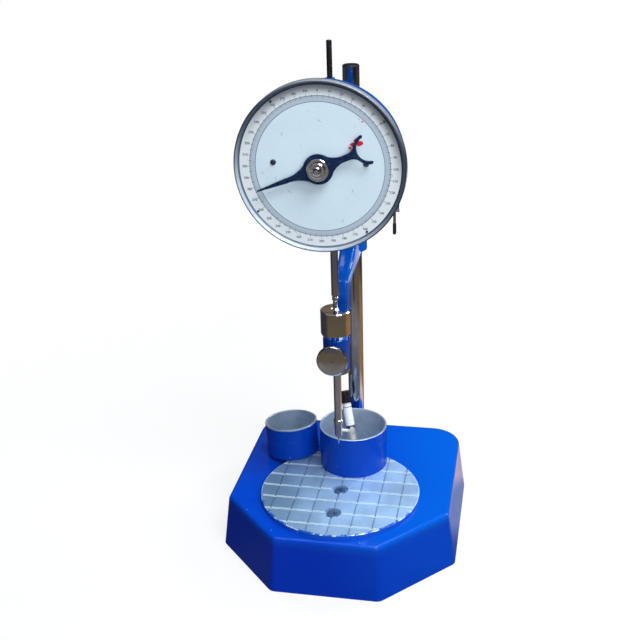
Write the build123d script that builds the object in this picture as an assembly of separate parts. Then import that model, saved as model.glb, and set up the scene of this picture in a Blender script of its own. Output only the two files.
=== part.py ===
from build123d import *
import math
import os

# Laboratory penetrometer. Sizes are in millimetres and degrees. The origin is under the middle of the base,
# the front faces -Y and Z is up.

# Fits: radial clearance of a running shaft, of a seated piece, and the gap left between loose pieces
RUN_FIT = 0.05
SEAT_FIT = 0.02
REST_GAP = 0.05

# Base casting
BASE_TOP = 59.0
BASE_HALF_WIDTH = 117.5
BASE_HALF_DEPTH = 124.5
BASE_FRONT_HALF = 52.5
BASE_SHOULDER_Y = -55.1
BASE_DRAFT = 7.9
BASE_WALL = 7.0
BASE_CEILING = 51.0
BASE_EDGE_ROUND = 4.5
BASE_FRONT_ROUND = 6.0
BASE_REAR_ROUND = 32.0
BASE_HOLLOW_ROUND = 18.0
RIB_THICKNESS = 6.0
RIB_BOTTOM = 22.0
COLUMN_BOSS_R = 15.0
COLUMN_BOSS_TOP = 64.0
COLUMN_LUG_R = 17.0
COLUMN_LUG_BOTTOM = 40.0

# Bed plate, its square grid of grooves and its screws
PLUNGER_Y = -34.0
BED_R = 84.5
BED_TOP = 64.0
GROOVE_PITCH = 22.0
GROOVE_COUNT = 7
GROOVE_WIDTH = 1.6
GROOVE_DEPTH = 1.0
BED_SCREW_STEPS = (-2, 0, 2)
BED_COUNTERBORE_R = 8.8
BED_COUNTERBORE_DEPTH = 3.6
BED_SCREW_HEAD_R = 6.6
BED_SCREW_R = 2.6
BED_SCREW_BOTTOM = 43.0
BED_LUG_R = 8.0
BED_LUG_BOTTOM = 41.0

# Column
COLUMN_Y = 80.8
COLUMN_R = 8.7
COLUMN_TOP = 492.5
SHANK_R = 6.0
SHANK_BOTTOM = 28.0
NUT_ACROSS_FLATS = 19.0
NUT_BOTTOM = 31.0
NUT_TOP = 38.0
WASHER_R = 13.0

# Collar of the head casting, its sleeve and its clamp
COLLAR_R = 14.4
COLLAR_BOTTOM = 296.0
COLLAR_TOP = 362.0
SLEEVE_R = 10.7
CLAMP_Z = 346.0
CLAMP_BOSS_R = 8.0
CLAMP_BOSS_END = 22.0
CLAMP_SCREW_R = 4.0
CLAMP_SCREW_TIP = 11.4
CLAMP_HEAD_START = 38.0
CLAMP_HEAD_END = 50.0
CLAMP_HEAD_R = 6.5
BAR_X = 44.2
BAR_R = 1.5
BAR_BOTTOM = 314.3
BAR_TOP = 364.8
BAR_END_LENGTH = 12.0
BAR_END_R = 1.9

# Arm, neck and plunger boss of the head casting
ARM_EDGE_ROUND = 3.0
ARM_SET = 0.8
NECK_FRONT = -6.0
NECK_BACK = 23.0
NECK_TOP = 291.7
PAD_X = -6.0
PAD_Z = 379.0
PAD_WIDTH = 50.0
PAD_HEIGHT = 42.0
PAD_ROUND = 10.0
PAD_FRONT = 13.0
PAD_BACK = 6.0
CASE_SCREW_STEP_X = 19.0
CASE_SCREW_STEP_Z = 14.0
CASE_SCREW_R = 2.0
BOSS_R = 13.5
BOSS_BOTTOM = 210.0
BOSS_TOP = 244.5
BOSS_EDGE_ROUND = 2.5

# Clutch: barrel, chamber, jaw, cover, button and spring
BARREL_TOP = 273.4
BARREL_R = 15.3
BARREL_FOOT_R = 13.0
BARREL_FOOT_HEIGHT = 4.2
SPIGOT_R = 9.0
SPIGOT_BOTTOM = 232.5
CHAMBER_HALF_WIDTH = 6.6
CHAMBER_FRONT = -44.6
CHAMBER_BACK = -22.4
CHAMBER_TOP = 231.0
CHAMBER_ROUND = 2.5
COVER_BOTTOM = 206.0
COVER_SCREW_X = 10.1
COVER_SCREW_R = 1.4
BUTTON_Z = 228.0
BUTTON_BOSS_R = 9.5
BUTTON_BOSS_END = 52.0
BUTTON_R = 15.7
BUTTON_BACK = 56.5
BUTTON_FACE = 61.5
BUTTON_TRAVEL = 3.0
STEM_R = 3.0
SPRING_SEAT = 48.5
SPRING_SEAT_R = 6.0
SPRING_R = 4.6
SPRING_WIRE_R = 0.4
SPRING_TURNS = 4
JAW_HALF_WIDTH = 6.2
JAW_FRONT = -44.0
JAW_BACK = -26.0
JAW_BOTTOM = 226.5
JAW_TOP = 229.5
JAW_GAP = 0.3

# Plunger, chuck and needle
SPINDLE_R = 4.0
SPINDLE_BOTTOM = 150.0
SPINDLE_SHOULDER = 272.6
SPINDLE_NECK_R = 2.3
SPINDLE_HEAD_R = 3.2
SPINDLE_HEAD_BOTTOM = 283.4
SPINDLE_TOP = 287.0
CHUCK_RING_R = 5.0
CHUCK_RING_BOTTOM = 146.5
CHUCK_BODY_R = 4.4
CHUCK_NOSE_R = 3.9
CHUCK_BOTTOM = 130.3
TENON_R = 2.5
TENON_BOTTOM = 142.0
NEEDLE_R = 1.0
NEEDLE_TIP = 120.3
NEEDLE_LENGTH = 50.0
THUMB_Z = 137.0
THUMB_SHANK_R = 1.6
THUMB_HEAD_R = 4.2
THUMB_HEAD_START = 12.3
THUMB_HEAD_END = 16.3

# Rack and pinion
RACK_PITCH = 2.0
PINION_TEETH = 20
PRESSURE_ANGLE = 20.0
FLANK_BACKLASH = 0.04
MODULE = RACK_PITCH / math.pi
PINION_R = MODULE * PINION_TEETH / 2
PINION_FRONT = 39.0
PINION_BACK = 29.0
RACK_TIP_X = -3.0
RACK_PITCH_X = RACK_TIP_X + MODULE
RACK_ROOT_X = RACK_PITCH_X + 1.25 * MODULE
RACK_GROOVES_BELOW = 23
RACK_GROOVES_ABOVE = 4
ROD_R = 3.8
ROD_BOTTOM = 287.7
ROD_TOP = 445.0
ROD_TOP_R = 2.55
ROD_END = 532.9

# Dial: heights are measured forward, from the plane y = 0
DIAL_X = RACK_PITCH_X - PINION_R
DIAL_Z = 420.6
CASE_BACK = 13.0
CASE_RIM = 48.0
CASE_RIM_R = 78.6
CASE_REAR_R = 77.1
CASE_BACK_ROUND = 12.0
CASE_WALL = 4.0
CASE_INNER_R = 73.6
PLATE_FRONT = 50.0
PLATE_R = 77.4
BEZEL_R = 80.8
BEZEL_INNER_R = 76.0
BEZEL_BACK = 44.0
BEZEL_FRONT = 54.2
BEZEL_LAND_R = 79.4
BEZEL_LIP = 0.4
DIAL_SCREW_STEP = 43.5
DIAL_SCREW_RISE = 4.4
DIAL_SCREW_R = 1.5
DIAL_SCREW_HEAD_R = 2.7
PILLAR_R = 5.0
ARBOR_R = 2.5
ARBOR_BACK = 14.4
ARBOR_FRONT = 62.0
ARBOR_BUSH_R = 5.0
ROD_BOSS_TOP = 499.6
ROD_BOSS_BOTTOM = 339.9
TOP_BUSH_R = 4.6
BOTTOM_BUSH_R = 5.6

# Pointer and hub nut
POINTER_TURN = 249.3
POINTER_BACK = 55.3
POINTER_FRONT = 56.7
POINTER_BOSS_BACK = 54.6
POINTER_BOSS_FRONT = 57.4
POINTER_BOSS_R = 14.2
POINTER_TIP = 62.7
TAIL_SWING = 2.65
FORK_DISTANCE = 51.0
FORK_INNER_R = 11.5
FORK_OUTER_R = 14.3
FORK_SPREAD = 80.0
NUT_RING_R = 10.5
NUT_STEP_R = 7.5
NUT_DOME_R = 4.2

# Sample cups
LARGE_CUP_X = 5.0
LARGE_CUP_Y = 26.8
LARGE_CUP_R = 37.0
LARGE_CUP_HEIGHT = 47.0
LARGE_CUP_FLOOR = 2.5
SMALL_CUP_X = -68.1
SMALL_CUP_Y = 45.0
SMALL_CUP_R = 29.5
SMALL_CUP_HEIGHT = 37.0
SMALL_CUP_FLOOR = 2.0
SMALL_CUP_TILT = 5.9
CUP_WALL = 2.0
CUP_FOOT_CHAMFER = 0.6

# Needle vial, leaning in the large cup
VIAL_AXIS = (-0.218, 0.336, 0.9163)
VIAL_FOOT_X = 4.6
VIAL_FOOT_Y = 38.7
VIAL_R = 4.8
VIAL_BORE_R = 4.0
VIAL_LENGTH = 68.0
VIAL_FLOOR = 1.2
LABEL_R = 4.98
LABEL_START = 26.0
LABEL_END = 55.0
CAP_R = 5.6
CAP_START = 56.5
CAP_END = 70.0
SPARE_NEEDLE_R = 0.5

# Places of the axes that pieces are turned about; local Z runs up, forward or to the right
COLUMN = Location((0, COLUMN_Y, 0))
PLUNGER = Location((0, PLUNGER_Y, 0))
DIAL = Plane(origin=(DIAL_X, 0, DIAL_Z), x_dir=(1, 0, 0), z_dir=(0, -1, 0)).location
BUTTON = Plane(origin=(0, 0, BUTTON_Z), x_dir=(1, 0, 0), z_dir=(0, -1, 0)).location
CLAMP = Plane(origin=(0, COLUMN_Y, CLAMP_Z), x_dir=(0, 1, 0), z_dir=(1, 0, 0)).location
THUMB = Plane(origin=(0, PLUNGER_Y, THUMB_Z), x_dir=(0, 1, 0), z_dir=(1, 0, 0)).location
ON_BASE = (Align.CENTER, Align.CENTER, Align.MIN)


def turned(profile, place=Location()):
    """Turn a closed outline about a local Z axis.

    Args:
        profile: corners of the outline as (radius, height) pairs.
        place: where the local axis stands.

    Returns:
        The solid of revolution.
    """
    outline = make_face(Polyline(*[(r, 0, h) for r, h in profile], close=True))
    return place * revolve(outline, Axis.Z)


def rod(radius, start, end, place=Location()):
    """Return a cylinder between two heights on a local Z axis."""
    return place * Pos(0, 0, start) * Cylinder(radius, end - start, align=ON_BASE)


def tube(outer, inner, start, end, place=Location()):
    """Return a plain sleeve between two heights on a local Z axis."""
    return rod(outer, start, end, place) - rod(inner, start, end, place)


def block(low, high):
    """Return the box between two opposite corners."""
    size = [b - a for a, b in zip(low, high)]
    middle = [(a + b) / 2 for a, b in zip(low, high)]
    return Pos(*middle) * Box(*size)


def pan_screw(head_radius, head_height, radius, length, place):
    """Return a screw whose head stands up from the local origin and whose shank runs down.

    Args:
        head_radius: radius of the head.
        head_height: height of the head, rounded off by a chamfer.
        radius: radius of the shank.
        length: length of the shank below the head.
        place: location of the seat under the head.

    Returns:
        The screw as one solid.
    """
    ease = head_height / 4
    profile = [(0, -length), (radius, -length), (radius, 0), (head_radius, 0), (head_radius, head_height - ease),
               (head_radius - ease, head_height), (0, head_height)]
    return turned(profile, place)


def base_outline(grow, front_round, rear_round):
    """Return the six-sided plan of the base.

    Args:
        grow: distance by which every side moves outward.
        front_round: corner radius of the four front corners.
        rear_round: corner radius of the two rear corners.

    Returns:
        The plan as a face at z = 0.
    """
    corners = [(-BASE_FRONT_HALF, -BASE_HALF_DEPTH), (BASE_FRONT_HALF, -BASE_HALF_DEPTH),
               (BASE_HALF_WIDTH, BASE_SHOULDER_Y), (BASE_HALF_WIDTH, BASE_HALF_DEPTH),
               (-BASE_HALF_WIDTH, BASE_HALF_DEPTH), (-BASE_HALF_WIDTH, BASE_SHOULDER_Y)]
    plan = make_face(Polyline(*corners, close=True))
    if grow:
        plan = offset(plan, amount=grow, kind=Kind.INTERSECTION)
    plan = fillet(plan.vertices().group_by(Axis.Y)[-1], rear_round)
    front = [v for v in plan.vertices() if v.Y < 0]
    return fillet(front, front_round)


def bed_screw_places():
    """Return the places of the bed screws on the seat of their counterbores."""
    seat = BED_TOP - BED_COUNTERBORE_DEPTH
    return [Location((0, PLUNGER_Y + step * GROOVE_PITCH, seat)) for step in BED_SCREW_STEPS]


def base_casting():
    """Cast a hollow base with drafted walls, cross ribs and lugs for the column and the bed screws."""
    outer = loft([base_outline(BASE_DRAFT, BASE_FRONT_ROUND + 4, BASE_REAR_ROUND + BASE_DRAFT),
                  Pos(0, 0, BASE_TOP) * base_outline(0, BASE_FRONT_ROUND, BASE_REAR_ROUND)], ruled=True)
    outer = fillet(outer.faces().sort_by(Axis.Z)[-1].edges(), BASE_EDGE_ROUND)
    inner = loft([base_outline(BASE_DRAFT - BASE_WALL, BASE_FRONT_ROUND, BASE_HOLLOW_ROUND + BASE_DRAFT),
                  Pos(0, 0, BASE_CEILING) * base_outline(-BASE_WALL, 3.0, BASE_HOLLOW_ROUND)], ruled=True)
    half = RIB_THICKNESS / 2
    long_rib = block((-half, -BASE_HALF_DEPTH, RIB_BOTTOM), (half, COLUMN_Y - WASHER_R - 6, BASE_TOP - 1))
    cross_rib = block((-BASE_HALF_WIDTH - 4, PLUNGER_Y - half, RIB_BOTTOM),
                      (BASE_HALF_WIDTH + 4, PLUNGER_Y + half, BASE_TOP - 1))
    cast = outer - inner + (long_rib & outer) + (cross_rib & outer)
    cast += rod(COLUMN_LUG_R, COLUMN_LUG_BOTTOM, BASE_TOP - 1, COLUMN)
    cast += rod(COLUMN_BOSS_R, BASE_TOP - 1, COLUMN_BOSS_TOP, COLUMN)
    for place in bed_screw_places():
        cast += Pos(place.position.X, place.position.Y, 0) * rod(BED_LUG_R, BED_LUG_BOTTOM, BASE_TOP - 1)
    for place in bed_screw_places():
        cast -= Pos(place.position.X, place.position.Y, 0) * rod(BED_SCREW_R + SEAT_FIT, 0, BASE_TOP + 1)
    return cast - rod(SHANK_R + RUN_FIT, 0, BASE_TOP + 20, COLUMN)


def bed_plate():
    """Turn the bed, mill its grid of grooves and counterbore it for its screws."""
    edge = 0.6
    bed = turned([(0, BASE_TOP), (BED_R, BASE_TOP), (BED_R, BED_TOP - edge), (BED_R - edge, BED_TOP), (0, BED_TOP)],
                 PLUNGER)
    reach = BED_R + 5
    half = GROOVE_WIDTH / 2
    floor = BED_TOP - GROOVE_DEPTH
    for index in range(GROOVE_COUNT):
        across = (index - GROOVE_COUNT // 2) * GROOVE_PITCH
        bed -= PLUNGER * block((across - half, -reach, floor), (across + half, reach, BED_TOP + 1))
        bed -= PLUNGER * block((-reach, across - half, floor), (reach, across + half, BED_TOP + 1))
    for place in bed_screw_places():
        bed -= rod(BED_COUNTERBORE_R, 0, 20, place)
        bed -= rod(BED_SCREW_R + 0.3, -20, 20, place)
    return bed


def bed_screws():
    """Return the screws of the bed, each with a hexagon socket."""
    head = BED_COUNTERBORE_DEPTH - 0.8
    length = BED_TOP - BED_COUNTERBORE_DEPTH - BED_SCREW_BOTTOM
    screws = []
    for place in bed_screw_places():
        screw = pan_screw(BED_SCREW_HEAD_R, head, BED_SCREW_R, length, place)
        socket = extrude(place * Pos(0, 0, 0.6) * RegularPolygon(3.0, 6), amount=5)
        screws.append(screw - socket)
    return Compound(children=screws)


def column():
    """Turn the column with its shouldered shank and eased top edge."""
    ease = 1.0
    profile = [(0, SHANK_BOTTOM), (SHANK_R - ease, SHANK_BOTTOM), (SHANK_R, SHANK_BOTTOM + ease),
               (SHANK_R, COLUMN_BOSS_TOP), (COLUMN_R, COLUMN_BOSS_TOP), (COLUMN_R, COLUMN_TOP - ease),
               (COLUMN_R - ease, COLUMN_TOP), (0, COLUMN_TOP)]
    return turned(profile, COLUMN)


def column_nut():
    """Return the hexagon nut under the column, with chamfered corners."""
    corner = NUT_ACROSS_FLATS / math.sqrt(3)
    nut = extrude(COLUMN * Pos(0, 0, NUT_BOTTOM) * RegularPolygon(corner, 6), amount=NUT_TOP - NUT_BOTTOM)
    nut &= turned([(0, NUT_BOTTOM), (corner - 1, NUT_BOTTOM), (corner, NUT_BOTTOM + 0.6), (corner, NUT_TOP),
                   (0, NUT_TOP)], COLUMN)
    return nut - rod(SHANK_R + SEAT_FIT, NUT_BOTTOM - 1, NUT_TOP + 1, COLUMN)


def arm_side():
    """Return the side view of the forked arm, its neck and its lower run as a face in the plane x = 0."""
    rear = TangentArc((0, NECK_BACK, 271), (0, 33.5, 284.4), tangent=(0, 0, 1))
    brow = TangentArc((0, NECK_FRONT, NECK_TOP - 6.2), (0, NECK_FRONT + 5.5, NECK_TOP), tangent=(0, 0, 1))
    throat = TangentArc((0, 16, NECK_TOP + 2.6), (0, 50, 322), tangent=(0, 1, 0.16))
    palate = TangentArc(throat @ 1, (0, 40, 338), tangent=throat % 1)
    outline = Curve() + [
        Polyline((0, -20, 243), (0, PLUNGER_Y, 243), (0, PLUNGER_Y, 212), (0, 12, 212)),
        TangentArc((0, 12, 212), (0, NECK_BACK, 224), tangent=(0, 1, 0)),
        Line((0, NECK_BACK, 224), rear @ 0),
        rear,
        Polyline(rear @ 1, (0, 67, 292.7), (0, COLUMN_Y, 295), (0, COLUMN_Y, 354), (0, 66, 355)),
        ThreePointArc((0, 66, 355), (0, 36, 366), (0, 12, 388)),
        Polyline((0, 12, 388), (0, 2, 399), (0, -10, 399), (0, -10, 359), (0, NECK_FRONT, 352), (0, NECK_FRONT, 341.5),
                 palate @ 1),
        palate,
        throat,
        Line(throat @ 0, brow @ 1),
        brow,
        Line(brow @ 0, (0, NECK_FRONT, 258)),
        TangentArc((0, NECK_FRONT, 258), (0, -20, 243), tangent=(0, 0, -1)),
    ]
    return make_face(outline.edges())


def arm_plan():
    """Return the plan of the arm, whose narrow waist is set a little to the left, as a face at z = 0."""
    right = Spline((9.4, 90), (9.0, 62), (8.0 - ARM_SET, 32), (7.4 - ARM_SET, 8), (9.4, -22), (9.6, -40))
    left = Spline((-9.4, 90), (-9.0, 62), (-8.0 - ARM_SET, 32), (-7.4 - ARM_SET, 8), (-9.4, -22), (-9.6, -40))
    ends = [Line(right @ 0, left @ 0), Line(right @ 1, left @ 1)]
    return make_face((Curve() + [right, left] + ends).edges())


def case_screw_places():
    """Return the places of the screws that hold the dial case, on the back of the pad and facing rearward."""
    return [Plane(origin=(PAD_X + dx, -PAD_BACK, PAD_Z + dz), z_dir=(0, 1, 0)).location
            for dx in (-CASE_SCREW_STEP_X, CASE_SCREW_STEP_X) for dz in (-CASE_SCREW_STEP_Z, CASE_SCREW_STEP_Z)]


def head_casting():
    """Cast the head: collar, arm, neck, pad for the dial case and bosses for plunger, button and clamp."""
    arm = extrude(arm_side(), amount=20, both=True) & extrude(arm_plan(), amount=500, dir=(0, 0, 1))
    arm = fillet([e for e in arm.edges() if abs(e.center().X) > 3 and e.center().Y > -30], ARM_EDGE_ROUND)
    collar = turned([(0, COLLAR_BOTTOM), (COLLAR_R - 1.6, COLLAR_BOTTOM), (COLLAR_R - 0.5, COLLAR_BOTTOM + 0.6),
                     (COLLAR_R, COLLAR_BOTTOM + 1.8), (COLLAR_R, COLLAR_TOP - 1.2), (COLLAR_R - 1.2, COLLAR_TOP),
                     (0, COLLAR_TOP)], COLUMN)
    boss = rod(BOSS_R, BOSS_BOTTOM, BOSS_TOP, PLUNGER)
    boss = fillet(boss.edges().group_by(Axis.Z)[-1], BOSS_EDGE_ROUND)
    pad = RectangleRounded(PAD_WIDTH, PAD_HEIGHT, PAD_ROUND)
    pad = extrude(Plane(origin=(PAD_X, -PAD_BACK, PAD_Z), x_dir=(1, 0, 0), z_dir=(0, -1, 0)) * pad,
                  amount=PAD_FRONT - PAD_BACK)
    cast = arm + collar + boss + pad
    cast += rod(BUTTON_BOSS_R, -PLUNGER_Y, BUTTON_BOSS_END, BUTTON)
    cast += rod(CLAMP_BOSS_R, 8, CLAMP_BOSS_END, CLAMP)

    chamber = RectangleRounded(2 * CHAMBER_HALF_WIDTH, CHAMBER_BACK - CHAMBER_FRONT, CHAMBER_ROUND)
    middle = (CHAMBER_BACK + CHAMBER_FRONT) / 2
    cast -= extrude(Pos(0, middle, BOSS_BOTTOM - 1) * chamber, amount=CHAMBER_TOP - BOSS_BOTTOM + 1)
    cast -= rod(SPIGOT_R + SEAT_FIT, CHAMBER_TOP - 1, BOSS_TOP + 1, PLUNGER)
    cast -= rod(STEM_R + RUN_FIT, -CHAMBER_FRONT - 2, BUTTON_BOSS_END + 1, BUTTON)
    cast -= rod(SPRING_SEAT_R, SPRING_SEAT, BUTTON_BOSS_END + 1, BUTTON)
    cast -= rod(SLEEVE_R + RUN_FIT, COLLAR_BOTTOM - 60, COLLAR_TOP + 60, COLUMN)
    cast -= rod(CLAMP_SCREW_R + RUN_FIT, 5, CLAMP_BOSS_END + 1, CLAMP)
    for x in (-COVER_SCREW_X, COVER_SCREW_X):
        cast -= Pos(x, PLUNGER_Y, 0) * rod(COVER_SCREW_R + SEAT_FIT, BOSS_BOTTOM - 1, BOSS_BOTTOM + 12)
    for place in case_screw_places():
        cast -= rod(CASE_SCREW_R + 0.2, -20, 5, place)
    return cast


def case_screws():
    """Return the screws that hold the dial case to the pad of the head casting."""
    length = PAD_FRONT - PAD_BACK + CASE_WALL - 0.5
    return Compound(children=[pan_screw(3.6, 2.4, CASE_SCREW_R, length, place) for place in case_screw_places()])


def clutch_barrel():
    """Turn the barrel over the plunger boss, with its tapered foot, its spigot and its bore."""
    ease = 0.8
    bore = SPINDLE_R + RUN_FIT
    profile = [(bore, SPIGOT_BOTTOM), (SPIGOT_R, SPIGOT_BOTTOM), (SPIGOT_R, BOSS_TOP), (BARREL_FOOT_R, BOSS_TOP),
               (BARREL_R, BOSS_TOP + BARREL_FOOT_HEIGHT), (BARREL_R, BARREL_TOP - ease), (BARREL_R - ease, BARREL_TOP),
               (bore + 0.6, BARREL_TOP), (bore, BARREL_TOP - 0.6)]
    return turned(profile, PLUNGER)


def clutch_cover():
    """Turn the cover of the clutch chamber and drill it for its screws."""
    ease = 0.6
    bore = SPINDLE_R + RUN_FIT
    cover = turned([(bore, COVER_BOTTOM), (BOSS_R - ease, COVER_BOTTOM), (BOSS_R, COVER_BOTTOM + ease),
                    (BOSS_R, BOSS_BOTTOM), (bore, BOSS_BOTTOM)], PLUNGER)
    for x in (-COVER_SCREW_X, COVER_SCREW_X):
        cover -= Pos(x, PLUNGER_Y, 0) * rod(COVER_SCREW_R + SEAT_FIT, COVER_BOTTOM - 1, BOSS_BOTTOM + 1)
    return cover


def cover_screws():
    """Return the two screws of the clutch cover, heads down."""
    places = [Plane(origin=(x, PLUNGER_Y, COVER_BOTTOM), z_dir=(0, 0, -1)).location
              for x in (-COVER_SCREW_X, COVER_SCREW_X)]
    return Compound(children=[pan_screw(2.4, 1.4, COVER_SCREW_R, 11, place) for place in places])


def clutch_jaw():
    """Cut the jaw plate with a long hole round the plunger, clear of it by a thin gap at rest."""
    plate = block((-JAW_HALF_WIDTH, JAW_FRONT, JAW_BOTTOM), (JAW_HALF_WIDTH, JAW_BACK, JAW_TOP))
    plate = fillet(plate.edges().filter_by(Axis.Z), 2.0)
    radius = SPINDLE_R + JAW_GAP
    hole = rod(radius, JAW_BOTTOM - 1, JAW_TOP + 1, PLUNGER)
    front = PLUNGER_Y - BUTTON_TRAVEL - 0.1
    hole += rod(radius, JAW_BOTTOM - 1, JAW_TOP + 1, Location((0, front, 0)))
    hole += block((-radius, front, JAW_BOTTOM - 1), (radius, PLUNGER_Y, JAW_TOP + 1))
    return plate - hole


def release_button():
    """Turn the button with its slightly domed face and its stem."""
    profile = [(0, -JAW_FRONT), (STEM_R, -JAW_FRONT), (STEM_R, BUTTON_BACK), (BUTTON_R - 0.6, BUTTON_BACK),
               (BUTTON_R, BUTTON_BACK + 0.6), (BUTTON_R, BUTTON_FACE - 1.6), (BUTTON_R - 0.4, BUTTON_FACE - 1.0),
               (BUTTON_R - 1.2, BUTTON_FACE - 0.6), (BUTTON_R - 6, BUTTON_FACE - 0.2), (0, BUTTON_FACE)]
    return turned(profile, BUTTON)


def helix_point(angle, rise):
    """Return a point of the spring's centre line and its unit tangent at an angle in radians."""
    slope = rise / (2 * math.pi)
    start = SPRING_SEAT + SPRING_WIRE_R + SEAT_FIT
    point = Vector(SPRING_R * math.cos(angle), SPRING_R * math.sin(angle), start + slope * angle)
    tangent = Vector(-SPRING_R * math.sin(angle), SPRING_R * math.cos(angle), slope).normalized()
    return point, tangent


def biarc(first, second):
    """Join two points with known tangents by two arcs that meet smoothly.

    Args:
        first: start point and unit tangent.
        second: end point and unit tangent.

    Returns:
        The two arcs, in order.
    """
    (p0, t0), (p1, t1) = first, second
    chord = p1 - p0
    total = t0 + t1
    bend = 4 - total.dot(total)
    reach = (-chord.dot(total) + math.sqrt(chord.dot(total) ** 2 + bend * chord.dot(chord))) / bend
    near = p0 + t0 * reach
    far = p1 - t1 * reach
    joint = (near + far) * 0.5
    return [TangentArc(p0, joint, tangent=t0), TangentArc(joint, p1, tangent=(far - near).normalized())]


def button_spring():
    """Sweep the button's spring along biarcs of half a turn and print its least gap between turns."""
    length = BUTTON_BACK - SPRING_SEAT - 2 * (SPRING_WIRE_R + SEAT_FIT)
    rise = length / SPRING_TURNS
    path = Curve()
    for half_turn in range(2 * SPRING_TURNS):
        start = helix_point(half_turn * math.pi, rise)
        end = helix_point((half_turn + 1) * math.pi, rise)
        path += biarc(start, end)
    point, tangent = helix_point(0, rise)
    wire = sweep(Plane(origin=point, z_dir=tangent) * Circle(SPRING_WIRE_R), path=path)
    steps = [path.edges()[i].position_at(f) for i in range(len(path.edges())) for f in (0, 0.25, 0.5, 0.75)]
    apart = len(steps) // SPRING_TURNS - 2
    gap = min((steps[i] - steps[j]).length for i in range(len(steps)) for j in range(i + apart, len(steps)))
    print("least gap between turns of the spring, mm:", round(gap - 2 * SPRING_WIRE_R, 3))
    return BUTTON * wire


def plunger_spindle():
    """Turn the plunger spindle with its tenon, its necked head and the bore that takes the needle."""
    bore = NEEDLE_R + RUN_FIT
    bore_top = NEEDLE_TIP + NEEDLE_LENGTH + 0.5
    ease = 0.5
    profile = [(bore, TENON_BOTTOM), (TENON_R, TENON_BOTTOM), (TENON_R, SPINDLE_BOTTOM), (SPINDLE_R, SPINDLE_BOTTOM),
               (SPINDLE_R, SPINDLE_SHOULDER), (SPINDLE_NECK_R, SPINDLE_SHOULDER + 2),
               (SPINDLE_NECK_R, SPINDLE_HEAD_BOTTOM - 1), (SPINDLE_HEAD_R, SPINDLE_HEAD_BOTTOM),
               (SPINDLE_HEAD_R, SPINDLE_TOP - ease), (SPINDLE_HEAD_R - ease, SPINDLE_TOP), (0, SPINDLE_TOP),
               (0, bore_top), (bore, bore_top)]
    return turned(profile, PLUNGER)


def needle_chuck():
    """Turn the tapered chuck with its ring and drill it for the thumbscrew."""
    bore = NEEDLE_R + RUN_FIT
    socket = TENON_R + SEAT_FIT
    profile = [(bore, CHUCK_BOTTOM), (CHUCK_NOSE_R - 0.9, CHUCK_BOTTOM), (CHUCK_NOSE_R, CHUCK_BOTTOM + 0.9),
               (CHUCK_BODY_R, CHUCK_RING_BOTTOM - 1),
               (CHUCK_BODY_R, CHUCK_RING_BOTTOM), (CHUCK_RING_R, CHUCK_RING_BOTTOM + 0.5),
               (CHUCK_RING_R, SPINDLE_BOTTOM - 0.5), (CHUCK_RING_R - 0.5, SPINDLE_BOTTOM), (socket, SPINDLE_BOTTOM),
               (socket, TENON_BOTTOM - 0.3), (bore, TENON_BOTTOM - 0.3)]
    chuck = turned(profile, PLUNGER)
    return chuck - rod(THUMB_SHANK_R + RUN_FIT, 0, 10, THUMB)


def chuck_thumbscrew():
    """Turn the thumbscrew and flute its head for grip."""
    ease = 0.5
    profile = [(0, NEEDLE_R + 0.45), (THUMB_SHANK_R - 0.3, NEEDLE_R + 0.45), (THUMB_SHANK_R, NEEDLE_R + 0.75),
               (THUMB_SHANK_R, THUMB_HEAD_START), (THUMB_HEAD_R - ease, THUMB_HEAD_START),
               (THUMB_HEAD_R, THUMB_HEAD_START + ease), (THUMB_HEAD_R, THUMB_HEAD_END - ease),
               (THUMB_HEAD_R - ease, THUMB_HEAD_END), (0, THUMB_HEAD_END)]
    screw = turned(profile, THUMB)
    flutes = 18
    for index in range(flutes):
        turn = THUMB * Rot(0, 0, 360 * index / flutes) * Pos(THUMB_HEAD_R, 0, 0)
        screw -= turn * Rot(0, 0, 45) * Pos(0, 0, THUMB_HEAD_START - 1) * Box(0.5, 0.5, 6, align=ON_BASE)
    return screw


def needle(tip, radius, length, place):
    """Turn a needle with a blunt cone at its tip, standing on its tip."""
    cone = 6.35 * radius
    profile = [(0, tip), (0.15 * radius, tip), (radius, tip + cone), (radius, tip + length), (0, tip + length)]
    return turned(profile, place)


def rack_rod():
    """Turn the rod, mill a flat on its left side and cut the straight-flanked teeth of the rack."""
    ease = 0.6
    body = turned([(0, ROD_BOTTOM), (ROD_R - ease, ROD_BOTTOM), (ROD_R, ROD_BOTTOM + ease), (ROD_R, ROD_TOP - ease),
                   (ROD_R - ease, ROD_TOP), (0, ROD_TOP)], PLUNGER)
    low = DIAL_Z - (RACK_GROOVES_BELOW + 0.5) * RACK_PITCH
    high = DIAL_Z + (RACK_GROOVES_ABOVE + 0.5) * RACK_PITCH
    body -= PLUNGER * block((-ROD_R - 1, -ROD_R - 1, low), (RACK_TIP_X, ROD_R + 1, high))
    lean = math.tan(math.radians(PRESSURE_ANGLE))
    mid_width = RACK_PITCH / 4 + FLANK_BACKLASH
    mouth_x = RACK_TIP_X - 0.5
    mouth = mid_width + (RACK_PITCH_X - mouth_x) * lean
    root = mid_width - (RACK_ROOT_X - RACK_PITCH_X) * lean
    reach = ROD_R + 1
    for index in range(-RACK_GROOVES_BELOW, RACK_GROOVES_ABOVE + 1):
        z = DIAL_Z + index * RACK_PITCH
        groove = Polyline((mouth_x, -reach, z - mouth), (RACK_ROOT_X, -reach, z - root), (RACK_ROOT_X, -reach, z + root),
                          (mouth_x, -reach, z + mouth), close=True)
        body -= PLUNGER * extrude(make_face(groove), amount=2 * reach, dir=(0, 1, 0))
    stud = tapped_depth()
    return body - rod(1.6 + SEAT_FIT, ROD_TOP - stud - 0.5, ROD_TOP + 1, PLUNGER)


def tapped_depth():
    """Return the depth to which the top rod's stud enters the rack rod."""
    return 8.0


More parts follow.
